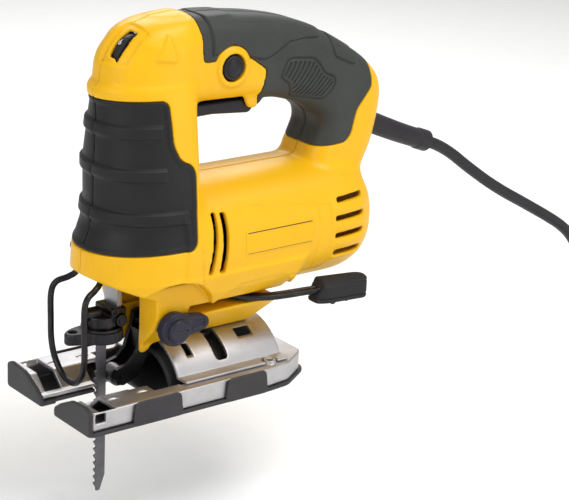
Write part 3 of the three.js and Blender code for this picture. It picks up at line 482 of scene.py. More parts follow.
def head_form(g):
    nose, half, power = row_values(g.z)
    reach = np.where(g.x > HEAD_X, nose - HEAD_X, HEAD_BACK)
    power = np.where(g.x > HEAD_X, power, 3.2)
    u = np.abs(g.x - HEAD_X) / reach
    v = np.abs(g.y) / half
    flat = (u ** power + v ** power + 1e-9) ** (1 / power) - 1
    radial = even(flat * half, g)
    return meet(radial, slab(g.z, (55, 201.4)), 6)


def barrel_form(g):
    u = np.abs(g.y) / BARREL_HALF
    v = np.abs(g.z - MOTOR_Z) / BARREL_HIGH
    flat = (u ** 2.35 + v ** 2.35 + 1e-9) ** (1 / 2.35)
    round_off = np.clip((BARREL_ROUND - g.x) / (BARREL_ROUND - BARREL_REAR), 0, 2)
    field = ((flat ** 2.6 + round_off ** 2.6 + 1e-9) ** (1 / 2.6) - 1) * 34
    field = even(field, g)
    return np.maximum(field, g.x + 29)


def handle_form(g):
    outer = spline(TOP_LINE, 8) + [(-150, 68), (-15, 68), (-15, 186)]
    side = polygon(g.x, g.z, outer)
    hole = polygon(g.x, g.z, fillet(HAND_OPENING, 5))
    body = rim(side, np.abs(g.y) - HANDLE_HALF, 12.5)
    across = np.abs(g.y) - HANDLE_HALF
    lip = rim(-hole, across, 10.5)
    lip = np.where(hole < 12, lip, DEEP_INSIDE)
    return np.maximum(body, np.maximum(lip, -hole))


def foot_form(g):
    section = polygon(np.abs(g.y), g.z, FOOT_SECTION)
    side = polygon(g.x, g.z, fillet(FOOT_SIDE, 2.5, 3))
    return meet(section, side, 2.5)


def tilt_room(g):
    """Where the shoe swings when it is tilted, which the foot stays out of."""
    seat = np.maximum(np.maximum(np.hypot(g.y, g.z) - 31, g.x + 22), -130 - g.x)
    wedge = np.maximum((g.z - np.abs(g.y) - 20.6) * 0.707, 8 - np.abs(g.y))
    wedge = np.maximum(wedge, slab(g.x, (-100, -29)))
    return np.minimum(seat, wedge)


def outer_form(g):
    upper = union(head_form(g), handle_form(g), 9)
    body = union(upper, barrel_form(g), 5)
    body = union(body, foot_form(g), 4)
    ring = rod(g, "y", (-HANDLE_HALF + 1, HANDLE_HALF + 1.2), LOCK, 10.4, 1.4)
    body = union(body, ring, 0.8)
    body = cut(body, rod(g, "y", (10, 30), LOCK, 7.2, 0.3), 0.5)
    body = cut(body, tilt_room(g), 0.5)
    chin = g.z - np.interp(g.x, (-15.5, 15, 40), (59.5, 72, 80)).astype(np.float32)
    chin = np.maximum(chin, -15.6 - g.x)
    body = cut(body, chin, 1.5)
    behind = np.clip((-123 - g.x) / 3, 0, 1) * np.clip((g.x + 150) / 8, 0, 1)
    between = np.clip((103 - g.z) / 3, 0, 1) * np.clip((g.z - 62) / 3, 0, 1) * (np.abs(g.y) > 15)
    body = body - 1.0 * behind * between * (0.5 + 0.5 * np.cos(2 * np.pi * (g.z - 93.2) / 9.6))
    hook = prism(g, "y", (-15, 15), fillet([(-75, 158), (-78, 150.8), (-82.5, 149.6), (-87, 153),
                                            (-90, 158)], 2), 2)
    return union(body, hook, 1.5)


def slots(g):
    """Every opening and sunk line in the yellow shell, negative inside."""
    fields = []
    for x_top, x_low, half, span in ((-46, -42.8, 1.4, (71.1, 103.2)), (-51.6, -50.4, 1.8, (70.9, 102.4))):
        part = (g.z - span[0]) / (span[1] - span[0])
        lean = x_low + (x_top - x_low) * part - 2.4 * part * (1 - part)
        opening = rim(np.abs(g.x - lean) - half, slab(g.z, span), 1.2)
        fields.append(np.maximum(opening, 20 - np.abs(g.y)))
    for z, ahead in ((98, -126), (88.4, -124.5), (78.8, -124.5), (68.6, -125.5)):
        opening = rim(np.abs(g.z - z + (g.x + 132) * 0.03) - 1.6, slab(g.x, (-145, ahead)), 1.2)
        fields.append(np.maximum(opening, 20 - np.abs(g.y)))
    return many(fields)


def side_grooves(g):
    """Thin sunk lines on both flanks of the shell."""
    fields = [line(g.x, g.z, fillet([(-62, 104), (-121.6, 97.6), (-121, 60.5), (-63, 61.5)], 3, 4,
                                    False)) - 0.45]
    fields.append(line(g.x, g.z, [(-113.4, 98), (-112.8, 61)]) - 0.4)
    fields.append(line(g.x, g.z, [(-36, 86), (-38.5, 62), (-33, 54), (-17, 51)]) - 0.45)
    return np.maximum(many(fields), 18 - np.abs(g.y))


def inner_cuts(g):
    """The openings moving parts and fittings pass through."""
    fields = [
        block(g, (-11.5, 2.5), (-11.4, 11.4), (46, 78)),
        np.maximum(disc(g, "z", (1, 0), 10.2), slab(g.z, (46, 66))),
        block(g, (-40, -10), (-9.7, 9.7), (15, 66)),
        block(g, (-103, -36), (8, 60), (46.6, 52.4), 0.5),
        np.maximum(disc(g, "z", (-60, 0), 3.5), slab(g.z, (20, 60))),
        rod(g, "y", (26.5, 60), (-24, 44), 26.2),
        rod(g, "y", (8, 60), (-24, 44), 5.4),
        block(g, (-84.6, -38.5), (-13, 13), (140, 161), 0.5),
        rod(g, "y", (5, 60), LOCK, 7.3),
        rod(g, "y", (3.5, 8.9), DIAL, 11.5)]
    for side in (-11, 11):
        fields.append(np.maximum(disc(g, "z", (9, side), 2), slab(g.z, (60, 84))))
    along = Vector((-30, -13.8)).normalized()
    out = (g.x + 150) * along.x + (g.z - 138.4) * along.y
    around = np.hypot((g.x + 150) * -along.y + (g.z - 138.4) * along.x, g.y)
    fields.append(np.maximum(around - 7.3, slab(out, (0, 40))))
    return many(fields)


def dial_window(g):
    outline = fillet([(2, 206), (-6, 203), (-13.5, 194), (-13.5, 184), (0.6, 184.4), (9, 186)], 1.2)
    return prism(g, "y", (3.1, 9.3), outline, 0.3)


def dial_facet(g):
    """The sunk facet around the speed wheel's window, with a shelf under it."""
    outline = [(30, 182.2), (2, 181.6), (-7, 181), (-15, 183.5), (-17.6, 192), (-13, 203), (-6, 215),
               (30, 215)]
    return prism(g, "y", (-2, 14), fillet(outline, 2), 0.5)


def side_recesses(g, body):
    """The shallow round recess behind the pendulum lever and the dish above the bevel lever's slot."""
    scoop = np.maximum(disc(g, "y", (-24, 44), 24), -0.9 - body)
    scoop = np.maximum(scoop, np.maximum(46 - g.z, g.x + 20))
    deep = np.clip((64 - g.z) / 12, 0, 1) * 2.2
    outline = fillet([(-48, 51), (-62, 61.5), (-90, 64), (-99, 58), (-101, 51)], 5)
    dish = np.maximum(polygon(g.x, g.z, outline), -deep - body)
    return np.maximum(np.minimum(scoop, dish), 10 - g.y)


def crown_triangle(g):
    return prism(g, "y", (14, 26), fillet([(-15.6, 183.6), (-24.6, 196.5), (-27.4, 182.2)], 1.2), 0.3)


def grip_areas(g, front, handle):
    """The flanks' outlines of the front grip and of the handle's sleeve, grown by the given amounts."""
    first = polygon(g.x, g.z, fillet(FRONT_AREA, 3)) - front
    second = polygon(g.x, g.z, fillet(HANDLE_AREA, 2.5)) - handle
    ring = disc(g, "y", LOCK, 11.4)
    return first, np.maximum(second, -ring)


def housing_grid(side):
    return Grid((-176, 18), (-1, 40) if side > 0 else (-40, 1), (22, 206), 0.8)


def build_shell(side):
    g = housing_grid(side)
    body = outer_form(g)
    front, handle = grip_areas(g, 0.15, 0.15)
    recess = np.maximum(np.minimum(front, handle), -SOFT - body)
    shell = np.maximum(body, -(body + WALL))
    shell = np.minimum(shell, np.maximum(body, np.maximum(g.z - 66, 13 - np.abs(g.y))))
    shell = np.minimum(shell, np.maximum(body, g.z - 46))
    seat = np.maximum(np.minimum(front, handle), -(body + SOFT + WALL))
    shell = np.minimum(shell, np.maximum(body, seat))
    shell = cut(shell, recess, 0.3)
    shell = cut(shell, np.minimum(slots(g), inner_cuts(g)), 0.5)
    shell = cut(shell, np.maximum(side_grooves(g), -0.7 - body), 0.3)
    shell = cut(shell, side_recesses(g, body), 0.7)
    shell = cut(shell, np.maximum(dial_facet(g), -0.9 - body), 0.5)
    shell = cut(shell, dial_window(g), 0.5)
    shell = union(shell, np.maximum(np.maximum(crown_triangle(g), body - 0.9), -1.0 - body), 0.25)
    if side < 0:
        for x, z in POSTS:
            shell = cut(shell, rod(g, "y", (-60, -2), (x, z), 3.6), 0.4)
    shell = np.maximum(shell, 0.15 - g.y * side)
    return g, shell


def front_relief(g):
    """The front grip's outer surface: three ledged bands, and a seam at the nose."""
    level = np.full(g.shape, -0.6, np.float32)
    for top, end in BAND_TOPS:
        under = top - g.z
        band = np.clip(under / 0.7, 0, 1) * np.clip((7.4 - under) / 1.6, 0, 1)
        fade = np.clip((g.x - end) / 1.5, 0, 1)
        level = level + 1.5 * band * fade
    level = level - 1.3 * np.exp(-(g.y / 0.55) ** 2)
    edge = polygon(g.x, g.z, fillet(FRONT_AREA, 3))
    lip = np.clip((edge + 3.0) / 0.9, 0, 1)
    return level * (1 - lip) + lip * -0.1


def handle_relief(g):
    """The handle sleeve's surface: flush border, sunk channel, raised panels and ribbed palm patch."""
    big = polygon(g.x, g.z, fillet(BIG_PANEL, 1.8))
    rear = polygon(g.x, g.z, fillet(REAR_PANEL, 1.5))
    patch = polygon(g.x, g.z, fillet(PALM_PATCH, 2))
    panels = np.minimum(big, rear)
    groove = np.exp(-(panels / 0.6) ** 2) + np.exp(-(patch / 0.6) ** 2)
    level = 0.45 * np.clip(0.5 - panels / 1.2, 0, 1) - 1.2 * groove
    slant = (g.x + 110) + 0.45 * (g.z - 165) - 0.022 * (g.z - 172) ** 2
    ribs = 0.5 + 0.5 * np.cos(slant / 3.2 * 2 * np.pi)
    level = level + np.where(patch < -1.6, 0.2 - 1.5 * (1 - ribs) ** 2, 0)
    seam = np.exp(-(g.y / 0.55) ** 2)
    return level - 0.7 * seam


def build_grip(name, side, area_index, relief, material, node, g):
    body = outer_form(g)
    area = grip_areas(g, -0.1, -0.1)[area_index]
    skin = np.maximum(body - relief(g), -(body + SOFT - 0.1))
    field = meet(skin, area, 0.9)
    field = np.maximum(field, -(body + SOFT - 0.1))
    field = np.maximum(field, 0.15 - g.y * side)
    field = np.maximum(field, -dial_window(g))
    return add_field(name, field, g, "frame", material, node)


def make_housing(m):
    for side, name in ((1, "left"), (-1, "right")):
        g, shell = build_shell(side)
        add_field("shell_" + name, shell, g, "frame", m["yellow"], "housing_" + name)
        y = (-1, 40) if side > 0 else (-40, 1)
        front = Grid((-40, 17), y, (83, 166), 0.6)
        build_grip("nose_grip_" + name, side, 0, front_relief, m["soft_grip"], "front_grip_" + name, front)
        handle = Grid((-166, -30), (-1, 23) if side > 0 else (-23, 1), (118, 206), 0.5)
        build_grip("sleeve_" + name, side, 1, handle_relief, m["handle_grip"], "handle_grip_" + name,
                   handle)


# ---------------------------------------------------------------- shells' fittings
def make_label(m):
    g = Grid((-125, -52), (22, 40), (62, 116), 0.4)
    body = outer_form(g)
    area = polygon(g.x, g.z, fillet([(-64, 91.4), (-109, 91.4), (-109, 78), (-64, 78)], 1.2))
    field = meet(np.maximum(body - 0.3, -0.6 - body), area, 0.3)
    add_field("blank_label", field, g, "frame", m["label"], "side_label")
    rules = np.minimum(np.abs(g.z - 90.3), np.abs(g.z - 79.1)) - 0.42
    rules = np.maximum(np.maximum(rules, slab(g.x, (-108, -65))), np.maximum(body - 0.42, -0.1 - body))
    add_field("label_rules", rules, g, "frame", m["black"])


def make_trigger(m):
    g = Grid((-86, -40), (-14, 14), (136, 164), 0.4)
    paddle = [(-40.4, 139.6), (-42, 139.6), (-43.6, 145.6), (-48, 148.8), (-58, 149), (-81, 147),
              (-83.4, 149),
              (-83.6, 154.4), (-80, 155.2), (-46, 155.6), (-41.6, 151)]
    body = prism(g, "y", (-12.2, 12.2), fillet(paddle, 1.8), 1.8)
    stem = prism(g, "y", (-8, 8), fillet([(-45, 161), (-49, 162.2), (-60, 159.2), (-80, 156.6), (-82, 153),
                                          (-46, 153)], 1.5), 1)
    body = union(body, stem, 0.8)
    body = union(body, rod(g, "y", (-11, 11), (-47, 158.5), 1.9, 0.3), 0.6)
    add_field("trigger_paddle", body, g, "trigger", m["black"], "trigger")


def make_lock_button(m):
    g = Grid((-73, -56), (10, 22.6), (166, 183), 0.3)
    stem = rod(g, "y", (11.5, 19.2), LOCK, 6.7, 1.2)
    dome = np.sqrt((g.x - LOCK[0]) ** 2 + (g.y - 8.2) ** 2 + (g.z - LOCK[1]) ** 2) - 13.0
    crown = np.maximum(dome, disc(g, "y", LOCK, 6.2))
    body = union(stem, np.maximum(crown, 14 - g.y), 0.5)
    ring = np.abs(disc(g, "y", LOCK, 4.6)) - 0.35
    body = cut(body, np.maximum(ring, -dome - 0.5), 0.3)
    add_field("lock_cap", body, g, "lock_button", m["black"], "lock_on_button")


def make_dial(m):
    g = Grid((-24, 0), (3, 9.4), (172, 196), 0.25)
    wheel = rod(g, "y", (4, 8.4), DIAL, 11, 0.5)
    angle = np.arctan2(g.z - DIAL[1], g.x - DIAL[0])
    notch = np.cos(angle * 30) * 0.22 + disc(g, "y", DIAL, 10.85)
    edge = np.abs(np.abs(g.y - 6.2) - 1.9) - 0.35
    wheel = np.maximum(wheel, np.where(edge < 0, notch, DEEP_INSIDE))
    hub = np.maximum(rod(g, "y", (7.6, 10), DIAL, 6.4, 0.3), -disc(g, "y", DIAL, 4.2))
    wheel = cut(wheel, hub, 0.2)
    add_field("dial_wheel", wheel, g, "dial", m["black"], "speed_dial")
    for digit in range(1, 7):
        turn = math.radians(44 - 60 * (6 - digit))
        outward = Vector((math.cos(turn), 0, math.sin(turn)))
        upward = Vector((-math.sin(turn), 0, math.cos(turn)))
        data = bpy.data.curves.new(f"digit_{digit}", "FONT")
        data.body = str(digit)
        data.size = 0.0046
        data.align_x = "CENTER"
        data.align_y = "CENTER"
        data.extrude = 0.00005
        text = bpy.data.objects.new(f"digit_{digit}", data)
        bpy.context.collection.objects.link(text)
        middle = place(DIAL[0], 6.2, DIAL[1]) + outward * 0.01102
        turn_to = Matrix((upward.cross(outward), upward, outward)).transposed()
        text.matrix_world = Matrix.Translation(middle) @ turn_to.to_4x4()
        data.materials.append(m["white"])
        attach(text, "dial")


def tube(name, path, radii, sides=20):
    """A round tube along a path in millimetres, its radius given at each point."""
    points = [Vector(p) for p in path]
    normal = Vector((0, 1, 0))
    rings, faces = [], []
    for i, p in enumerate(points):
        ahead = (points[min(i + 1, len(points) - 1)] - points[max(i - 1, 0)]).normalized()
        normal = (normal - ahead * normal.dot(ahead)).normalized()
        side = ahead.cross(normal)
        for k in range(sides):
            a = 2 * math.pi * k / sides
            q = p + (normal * math.cos(a) + side * math.sin(a)) * radii[i]
            rings.append(place(*q))
    for i in range(len(points) - 1):
        for k in range(sides):
            n = (k + 1) % sides
            faces.append((i * sides + k, i * sides + n, (i + 1) * sides + n, (i + 1) * sides + k))
    faces.append(tuple(range(sides))[::-1])
    faces.append(tuple((len(points) - 1) * sides + k for k in range(sides)))
    mesh = bpy.data.meshes.new(name)
    mesh.from_pydata(rings, [], faces)
    mesh.shade_smooth()
    mesh.validate()
    return mesh


def make_guard(m):
    half = [(9, 11, 80), (9, 11, 70), (13, 12.5, 66.5), (19, 15, 64), (21.5, 16, 58), (21.5, 16.2, 44),
            (21.2, 16, 32), (20.6, 13.5, 23), (20, 7.5, 16), (19.8, 0, 13.6)]
    loop = half + [(x, -y, z) for x, y, z in half[-2::-1]]
    path = spline(loop, 8)
    mesh = tube("guard_wire", path, [1.65] * len(path), 16)
    add_piece("guard_wire", mesh, "frame", m["black_steel"], "wire_guard")


def make_pendulum_lever(m):
    g = Grid((-47, -12), (16, 38.5), (32, 56), 0.35)
    at = (-24, 44)
    body = union(rod(g, "y", (17, 30), at, 5, 0.4), rod(g, "y", (27.3, 33), at, 9, 1.2), 0.6)
    body = union(body, rod(g, "y", (30, 36.6), at, 6.4, 1.8), 0.8)
    arm = [(-22, 52), (-34, 50.5), (-41.5, 49.3), (-44.6, 46.8), (-44.8, 43.4), (-42, 40.8), (-36, 40.2),
           (-22, 36.5)]
    body = union(body, prism(g, "y", (27.3, 33), fillet(arm, 3), 1.5), 1.2)
    body = cut(body, prism(g, "y", (32.1, 36),
                           fillet([(-33, 48), (-41.5, 47), (-41.5, 43.2), (-33, 42.4)], 1.5), 0.4), 0.5)
    body = cut(body, block(g, (-29, -19), (35.6, 40), (43.2, 44.8), 0.2), 0.3)
    add_field("orbit_lever", body, g, "pendulum_lever", m["blue_grey"], "pendulum_lever")


def make_bevel_lever(m):
    g = Grid((-140, -49), (-10, 43), (46.5, 52.5), 0.4)
    middle = spline([(-62, 3), (-72, 19), (-86, 29), (-112, 33.4), (-137, 38)], 6)
    stem = line(g.x, g.y, middle) - 3.0
    flat = union(disc(g, "z", (-60, 0), 9), stem, 5)
    flat = np.maximum(flat, -disc(g, "z", (-60, 0), 3.3))
    body = rim(flat, slab(g.z, (48, 51)), 0.8)
    channel = np.maximum(line(g.x, g.y, [(-90, 30.4), (-112, 33.4), (-134, 37.4)]) - 1.1, 50.4 - g.z)
    body = cut(body, channel, 0.3)
    add_field("tilt_lever", body, g, "bevel_lever", m["black_steel"], "bevel_lever", 0.01)


def make_lever_grip(m):
    plan = [(-111.5, 29.5), (-116, 28.5), (-140, 33.5), (-143.5, 36), (-143.5, 42), (-141, 44), (-117, 41),
            (-111.5, 38)]
    g = Grid((-145.5, -109.5), (26.5, 46), (40.5, 57.5), 0.35)
    body = prism(g, "z", (42.5, 55.5), fillet(plan, 2.5), 1.6)
    top = g.z - 55.6 + 0.42 * np.maximum(0, g.y - 33.5 + (g.x + 116) * 0.2)
    face = 0.86 * (g.x + 111.4 + 0.55 * np.maximum(0, g.z - 45))
    body = meet(body, np.maximum(top, face), 1.2)
    inset = np.maximum(0, -0.6 - polygon(g.x, g.y, fillet(plan, 2.5)))
    for z in (45.2, 52.6):
        body = cut(body, np.abs(g.z - z) - 0.3 + inset, 0.2)
    for x in (-122.5, -132):
        body = union(body, rod(g, "y", (32, 39.5), (x, 43.2), 2.2, 0.6), 0.5)
    add_field("tilt_paddle", body, g, "bevel_lever", m["rubber"], "lever_grip")


# ---------------------------------------------------------------- clamp and blade
def make_clamp(m):
    g = Grid((-11, 11), (-10, 10), (31, 54), 0.3)
    rodding = rod(g, "z", (33, 48), (1, 0), 8.6, 0.9)
    box = block(g, (-9.4, 0), (-8, 8), (42, 52), 1.0)
    body = union(rodding, box, 1.0)
    for at, out, radius in (((-5.2, 45.8), 10.4, 3.4), ((-1.4, 50.6), 9.6, 2.2)):
        body = union(body, rod(g, "y", (5, out), at, radius, 0.4), 0.3)
        body = cut(body, rod(g, "y", (out - 1.2, out + 2), at, radius * 0.5, 0.1), 0.2)
    body = cut(body, rod(g, "y", (6, 12), (4.2, 40.2), 1.6, 0.2), 0.3)
    body = union(body, rod(g, "x", (2, 11), (0, 49), 3.2, 0.6), 0.8)
    body = cut(body, np.maximum(np.abs(g.y) - 0.9, 2.5 - g.x), 0.2)
    body = cut(body, block(g, (-2.6, 6), (-0.75, 0.75), (30, 46), 0), 0.1)
    add_field("clamp_barrel", body, g, "plunger", m["black_steel"], "clamp_body")
    g = Grid((-12, 25), (-14, 14), (33, 41), 0.35)
    ring = rim(np.maximum(disc(g, "z", (1, 0), 11.4), -disc(g, "z", (1, 0), 8.9)), slab(g.z, (34, 40)), 0.7)
    plan = [(9, -9), (17, -7), (22, -3), (22.5, 1), (19, 3), (9, 6), (8, 0)]
    arm = prism(g, "z", (34, 40), fillet(plan, 2.5), 1.0)
    arm = np.maximum(arm, -disc(g, "z", (1, 0), 8.9))
    lever = union(ring, arm, 1.2)
    lever = cut(lever, rod(g, "z", (30, 44), (17, -2), 2.2), 0.6)
    for turn in range(8):
        a = math.radians(100 + turn * 20)
        lever = cut(lever, disc(g, "z", (1 + 11.7 * math.cos(a), 11.7 * math.sin(a)), 0.7), 0.3)
    add_field("clamp_ring", lever, g, "clamp_lever", m["black"], "clamp_lever")


def make_blade(m):
    back, front, tip, top, pitch = -2.1, 5.3, -53, 45, 4
    outline = [(back, top), (back, -44), (back + 3.2, tip), (front - 2, tip)]
    for tooth in range(17):
        z = tip + 2 + tooth * pitch
        outline += [(front - 1.9, z), (front - 1.5, z + 0.5), (front, z + 3.1), (front - 1.9, z + 3.6)]
    outline += [(front - 1.2, 20), (front - 1.2, top)]
    g = Grid((-3, 6.5), (-1.4, 1.4), (-54, 46), 0.22)
    body = prism(g, "y", (-0.6, 0.6), outline, 0.06)
    ground = 0.6 - 0.35 * np.clip((g.x - 3.2) / 2.1, 0, 1)
    body = np.maximum(body, np.abs(g.y) - ground)
    add_field("saw_blade", body, g, "plunger", m["blade_steel"], "blade", 0.01)


# ---------------------------------------------------------------- shoe
PAN = [(9, 2.3), (14, 2.3), (22.5, 10.3), (37, 10.3), (37, 2.3), (39.2, 2.3), (39.2, 12.5), (21.5, 12.5),
       (13, 4.5), (9, 4.5)]


def make_shoe_plate(m):
    g = Grid((-115, 33), (-41, 41), (1.5, 16), 0.45)
    ay = np.abs(g.y)
    pans = np.maximum(polygon(ay, g.z, fillet(PAN, 1.0, 3)), slab(g.x, (-28, 31)))
    rails = np.maximum(polygon(ay, g.z, [(31.5, 10.3), (37, 10.3), (37, 2.3), (39.2, 2.3), (39.2, 12.5),
                                         (31.5, 12.5)]),
                       slab(g.x, (-108, -20)))
    rear = np.maximum(np.maximum(ay - 39.2, slab(g.x, (-112, -95.5))), slab(g.z, (10.3, 12.5)))
    skirt = np.maximum(np.maximum(ay - 39.2, slab(g.x, (-112, -109.8))), slab(g.z, (2.3, 12.5)))
    body = many([pans, rails, rear, skirt])
    plan = [(31, -39.2), (31, 39.2), (-80, 39.2), (-80.5, 39.0), (-95, 37.2), (-110, 27.5), (-112, 24),
            (-112, -24),
            (-110, -27.5), (-95, -37.2), (-80.5, -39.0), (-80, -39.2)]
    outline = polygon(g.x, g.y, fillet(plan, 3))
    border = np.maximum(np.maximum(outline, -2.2 - outline), np.maximum(slab(g.z, (2.3, 12.5)), g.x + 78))
    body = meet(np.minimum(body, border), outline, 0.6)
    clear = np.maximum(np.hypot(g.y, g.z) - 28.2, slab(g.x, (-99.3, -12.5)))
    body = np.maximum(body, -clear)
    fence = np.maximum(slab(g.x, (22.8, 28.8)), slab(g.z, (6.3, 11.3)))
    body = np.maximum(body, -np.maximum(fence, 36 - ay))
    body = np.maximum(body, -np.maximum(slab(g.x, (-12.6, -2)), ay - 22.5))
    body = np.maximum(body, -np.maximum(slab(g.x, (-30.5, -12.5)), ay - 30.2))
    relief = [(12.6, 4.5), (14.2, 4.4), (14.2, 0), (37.2, 0), (37.2, 9.4), (38.7, 12.7), (38.7, 20),
              (12.6, 20)]
    body = np.maximum(body, -np.maximum(slab(g.x, (16.5, 26.5)), polygon(ay, g.z, relief)))
    eyelet = np.maximum(disc(g, "z", (-86, 32), 3.4), slab(g.z, (10.3, 14.3)))
    body = union(body, eyelet, 1.2)
    body = np.maximum(body, -disc(g, "z", (-86, 32), 1.7))
    for x in (-6, 12):
        bead = np.hypot((g.x - x) / 3.5, (ay - 29) / 1.4) - 1
        body = np.maximum(body, -np.maximum(bead * 1.4, 11.9 - g.z))
    add_field("sole_plate", body, g, "shoe", m["shoe_steel"], "shoe_plate", 0.005)


def make_shoe_bracket(m):
    g = Grid((-99, -28), (-36, 36), (12, 33), 0.45)
    ay = np.abs(g.y)
    radius = np.hypot(g.y, g.z)
    arch = np.maximum(radius - 30.3, 28.3 - radius)
    feet = np.maximum(slab(ay, (26, 34)), slab(g.z, (12.8, 14.2)))
    body = np.minimum(arch, feet)
    body = np.maximum(body, np.maximum(slab(g.x, (-97, -30)), 12.8 - g.z))
    slot = rim(slab(g.x, (-63.9, -56.1)), ay - 24.5, 2)
    body = np.maximum(body, -slot)
    body = np.maximum(body, -disc(g, "z", (-86, 32), 4.2))
    notches = [((-43.5, -39.5), (21.5, 26.5)), ((-85, -75), (24, 27.5))]
    for x, z in notches:
        opening = rim(np.maximum(slab(g.x, x), slab(g.z, z)), ay - 60, 0.5)
        body = np.maximum(body, -np.maximum(opening, 8 - ay))
    add_field("tilt_bracket", body, g, "shoe", m["shoe_steel"], "shoe_bracket", 0.005)


def make_shoe_cover(m):
    g = Grid((-117, 35), (-42.5, 42.5), (-1, 17), 0.45)
    ay = np.abs(g.y)
    plan = [(33, -41), (33, 41), (-79, 41), (-93.7, 39.5), (-111.5, 28.5), (-115, 24), (-115, -24),
            (-111.5, -28.5),
            (-93.7, -39.5), (-79, -41)]
    sole = rim(polygon(g.x, g.y, fillet(plan, 3)), slab(g.z, (0, 2)), 0.7)
    slot_half = np.where(g.x < -1, 16, np.where(g.x < 24, 8, 6.2))
    sole = np.maximum(sole, -np.maximum(ay - slot_half, -21.5 - g.x))
    cap = [(6.2, 0), (39.5, 0), (40.6, 1.5), (40.6, 13), (39.5, 14), (36, 15.5), (23, 14.5), (12, 9),
           (6.2, 5)]
    caps = rim(polygon(ay, g.z, fillet(cap, 1.5, 3)), slab(g.x, (31.3, 33.4)), 0.7)
    walls = []
    for x in ((-24, 7.2), (-79, -51)):
        side = fillet([(x[0], 0), (x[0] + 1.5, 13.2), (x[1] - 1.5, 13.2), (x[1], 0)], 3)
        walls.append(rim(polygon(g.x, g.z, side), slab(ay, (39.5, 41)), 0.5))
    body = many([sole, caps] + walls, 0.4)
    for y in (-30, -20, 20, 30):
        body = np.maximum(body, -np.maximum(np.maximum(np.abs(g.y - y) - 0.6, g.z - 0.35),
                                            slab(g.x, (-105, 26))))
    add_field("sole_cover", body, g, "shoe", m["cover"], "shoe_cover", 0.005)


def make_duct(m):
    g = Grid((-101, -27), (-25, 25), (2.5, 25), 0.45)
    radius = np.hypot(g.y, g.z)
    body = np.maximum(np.maximum(radius - 23.4, 21.4 - radius), np.maximum(slab(g.x, (-99, -29)), 3 - g.z))
    flange = np.maximum(np.maximum(radius - 23.4, 19.9 - radius),
                        np.maximum(slab(g.x, (-32, -29)), 3 - g.z))
    body = union(body, flange, 0.5)
    add_field("dust_channel", body, g, "shoe", m["duct"], "dust_duct", 0.005)


# ---------------------------------------------------------------- cord
LEAD = [(-219.3, 0, 109.4), (-227, 0, 106.2), (-238, 0, 100), (-252, 0, 90), (-276, 0, 74), (-307, 0, 56.5),
        (-325, -0.2, 46.3), (-338, -0.6, 38.2), (-347.5, -1.2, 30.4), (-355.4, -1.9, 20.4), (-364, -3, 4.3),
        (-373, -4.2, -12.7), (-382, -5.4, -29.6), (-390.2, -6.6, -44.4), (-398, -7.4, -54.3),
        (-407, -7.7, -60), (-416, -7.7, -62.3)]
COIL = (-425, 40)
CORD_R = 3.4
COIL_WIDE = 47.7
BOTTOM_Z, TOP_Z, PLUG_Z = -62.6, -55.8, -43.2
PER_TURN = 24
TAIL_TURN = 6  # where the tail starts to rise over the upper turns
LAYER_TURNS = 3
OUTWARD_TURN = 3.3  # where the upper layer starts to widen
TAIL_IN = 15.7


def coil_points():
    """Three turns in along the floor, three out on top, and half a turn to the plug."""
    points = []
    for step in range(int((TAIL_TURN + 0.5) * PER_TURN) + 1):
        turn = step / PER_TURN
        angle = -math.pi / 2 - 2 * math.pi * turn
        climb = math.sin(math.pi * min(max(turn - LAYER_TURNS, 0), 0.5))
        tail = min(max((turn - TAIL_TURN) / 0.5, 0), 1)
        inward = COIL_WIDE - 2 * CORD_R * min(turn, LAYER_TURNS)
        radius = inward + 2 * CORD_R * max(min(turn, TAIL_TURN) - OUTWARD_TURN, 0)
        radius -= TAIL_IN * tail * tail * (3 - 2 * tail)
        z = BOTTOM_Z + (TOP_Z - BOTTOM_Z) * climb + (PLUG_Z - TOP_Z) * math.sin(math.pi / 2 * tail) ** 1.5
        points.append((COIL[0] + radius * math.cos(angle), COIL[1] + radius * math.sin(angle), z))
    return points


def make_cord(m):
    route = LEAD + coil_points()
    end = route[-1]
    route += [(end[0] + 8, end[1], PLUG_Z), (end[0] + 16, end[1], PLUG_Z)]
    data = bpy.data.curves.new("lead", "CURVE")
    data.dimensions = "3D"
    data.bevel_depth = CORD_R / 1000
    data.bevel_resolution = 6
    data.resolution_u = 5
    data.use_fill_caps = True
    path = data.splines.new("BEZIER")
    path.bezier_points.add(len(route) - 1)
    for point, p in zip(path.bezier_points, route):
        point.co = place(*p)
        point.handle_left_type = point.handle_right_type = "AUTO"
    lead = bpy.data.objects.new("lead", data)
    bpy.context.collection.objects.link(lead)
    data.materials.append(m["cord"])
    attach(lead, "frame")
    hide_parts("cord_lead", "cord_coil")
    relief = make_strain_relief(m)
    plug = make_plug(m, end[0] + 6, end[1])
    tie = make_tie(m)


def make_strain_relief(m):
    path = spline([(-158, 0, 134.8), (-172, 0, 128.3), (-196, 0, 118.2), (-219, 0, 109.6)], 24)
    radii = []
    for i in range(len(path)):
        t = i / (len(path) - 1)
        radius = 6.4 - 0.9 * t
        if t > 0.86:
            radius = 6.2
        if t > 0.985:
            radius = 4.6
        radii.append(radius)
    mesh = tube("bend_sleeve", path, radii, 28)
    return add_piece("bend_sleeve", mesh, "frame", m["cord"], "strain_relief")


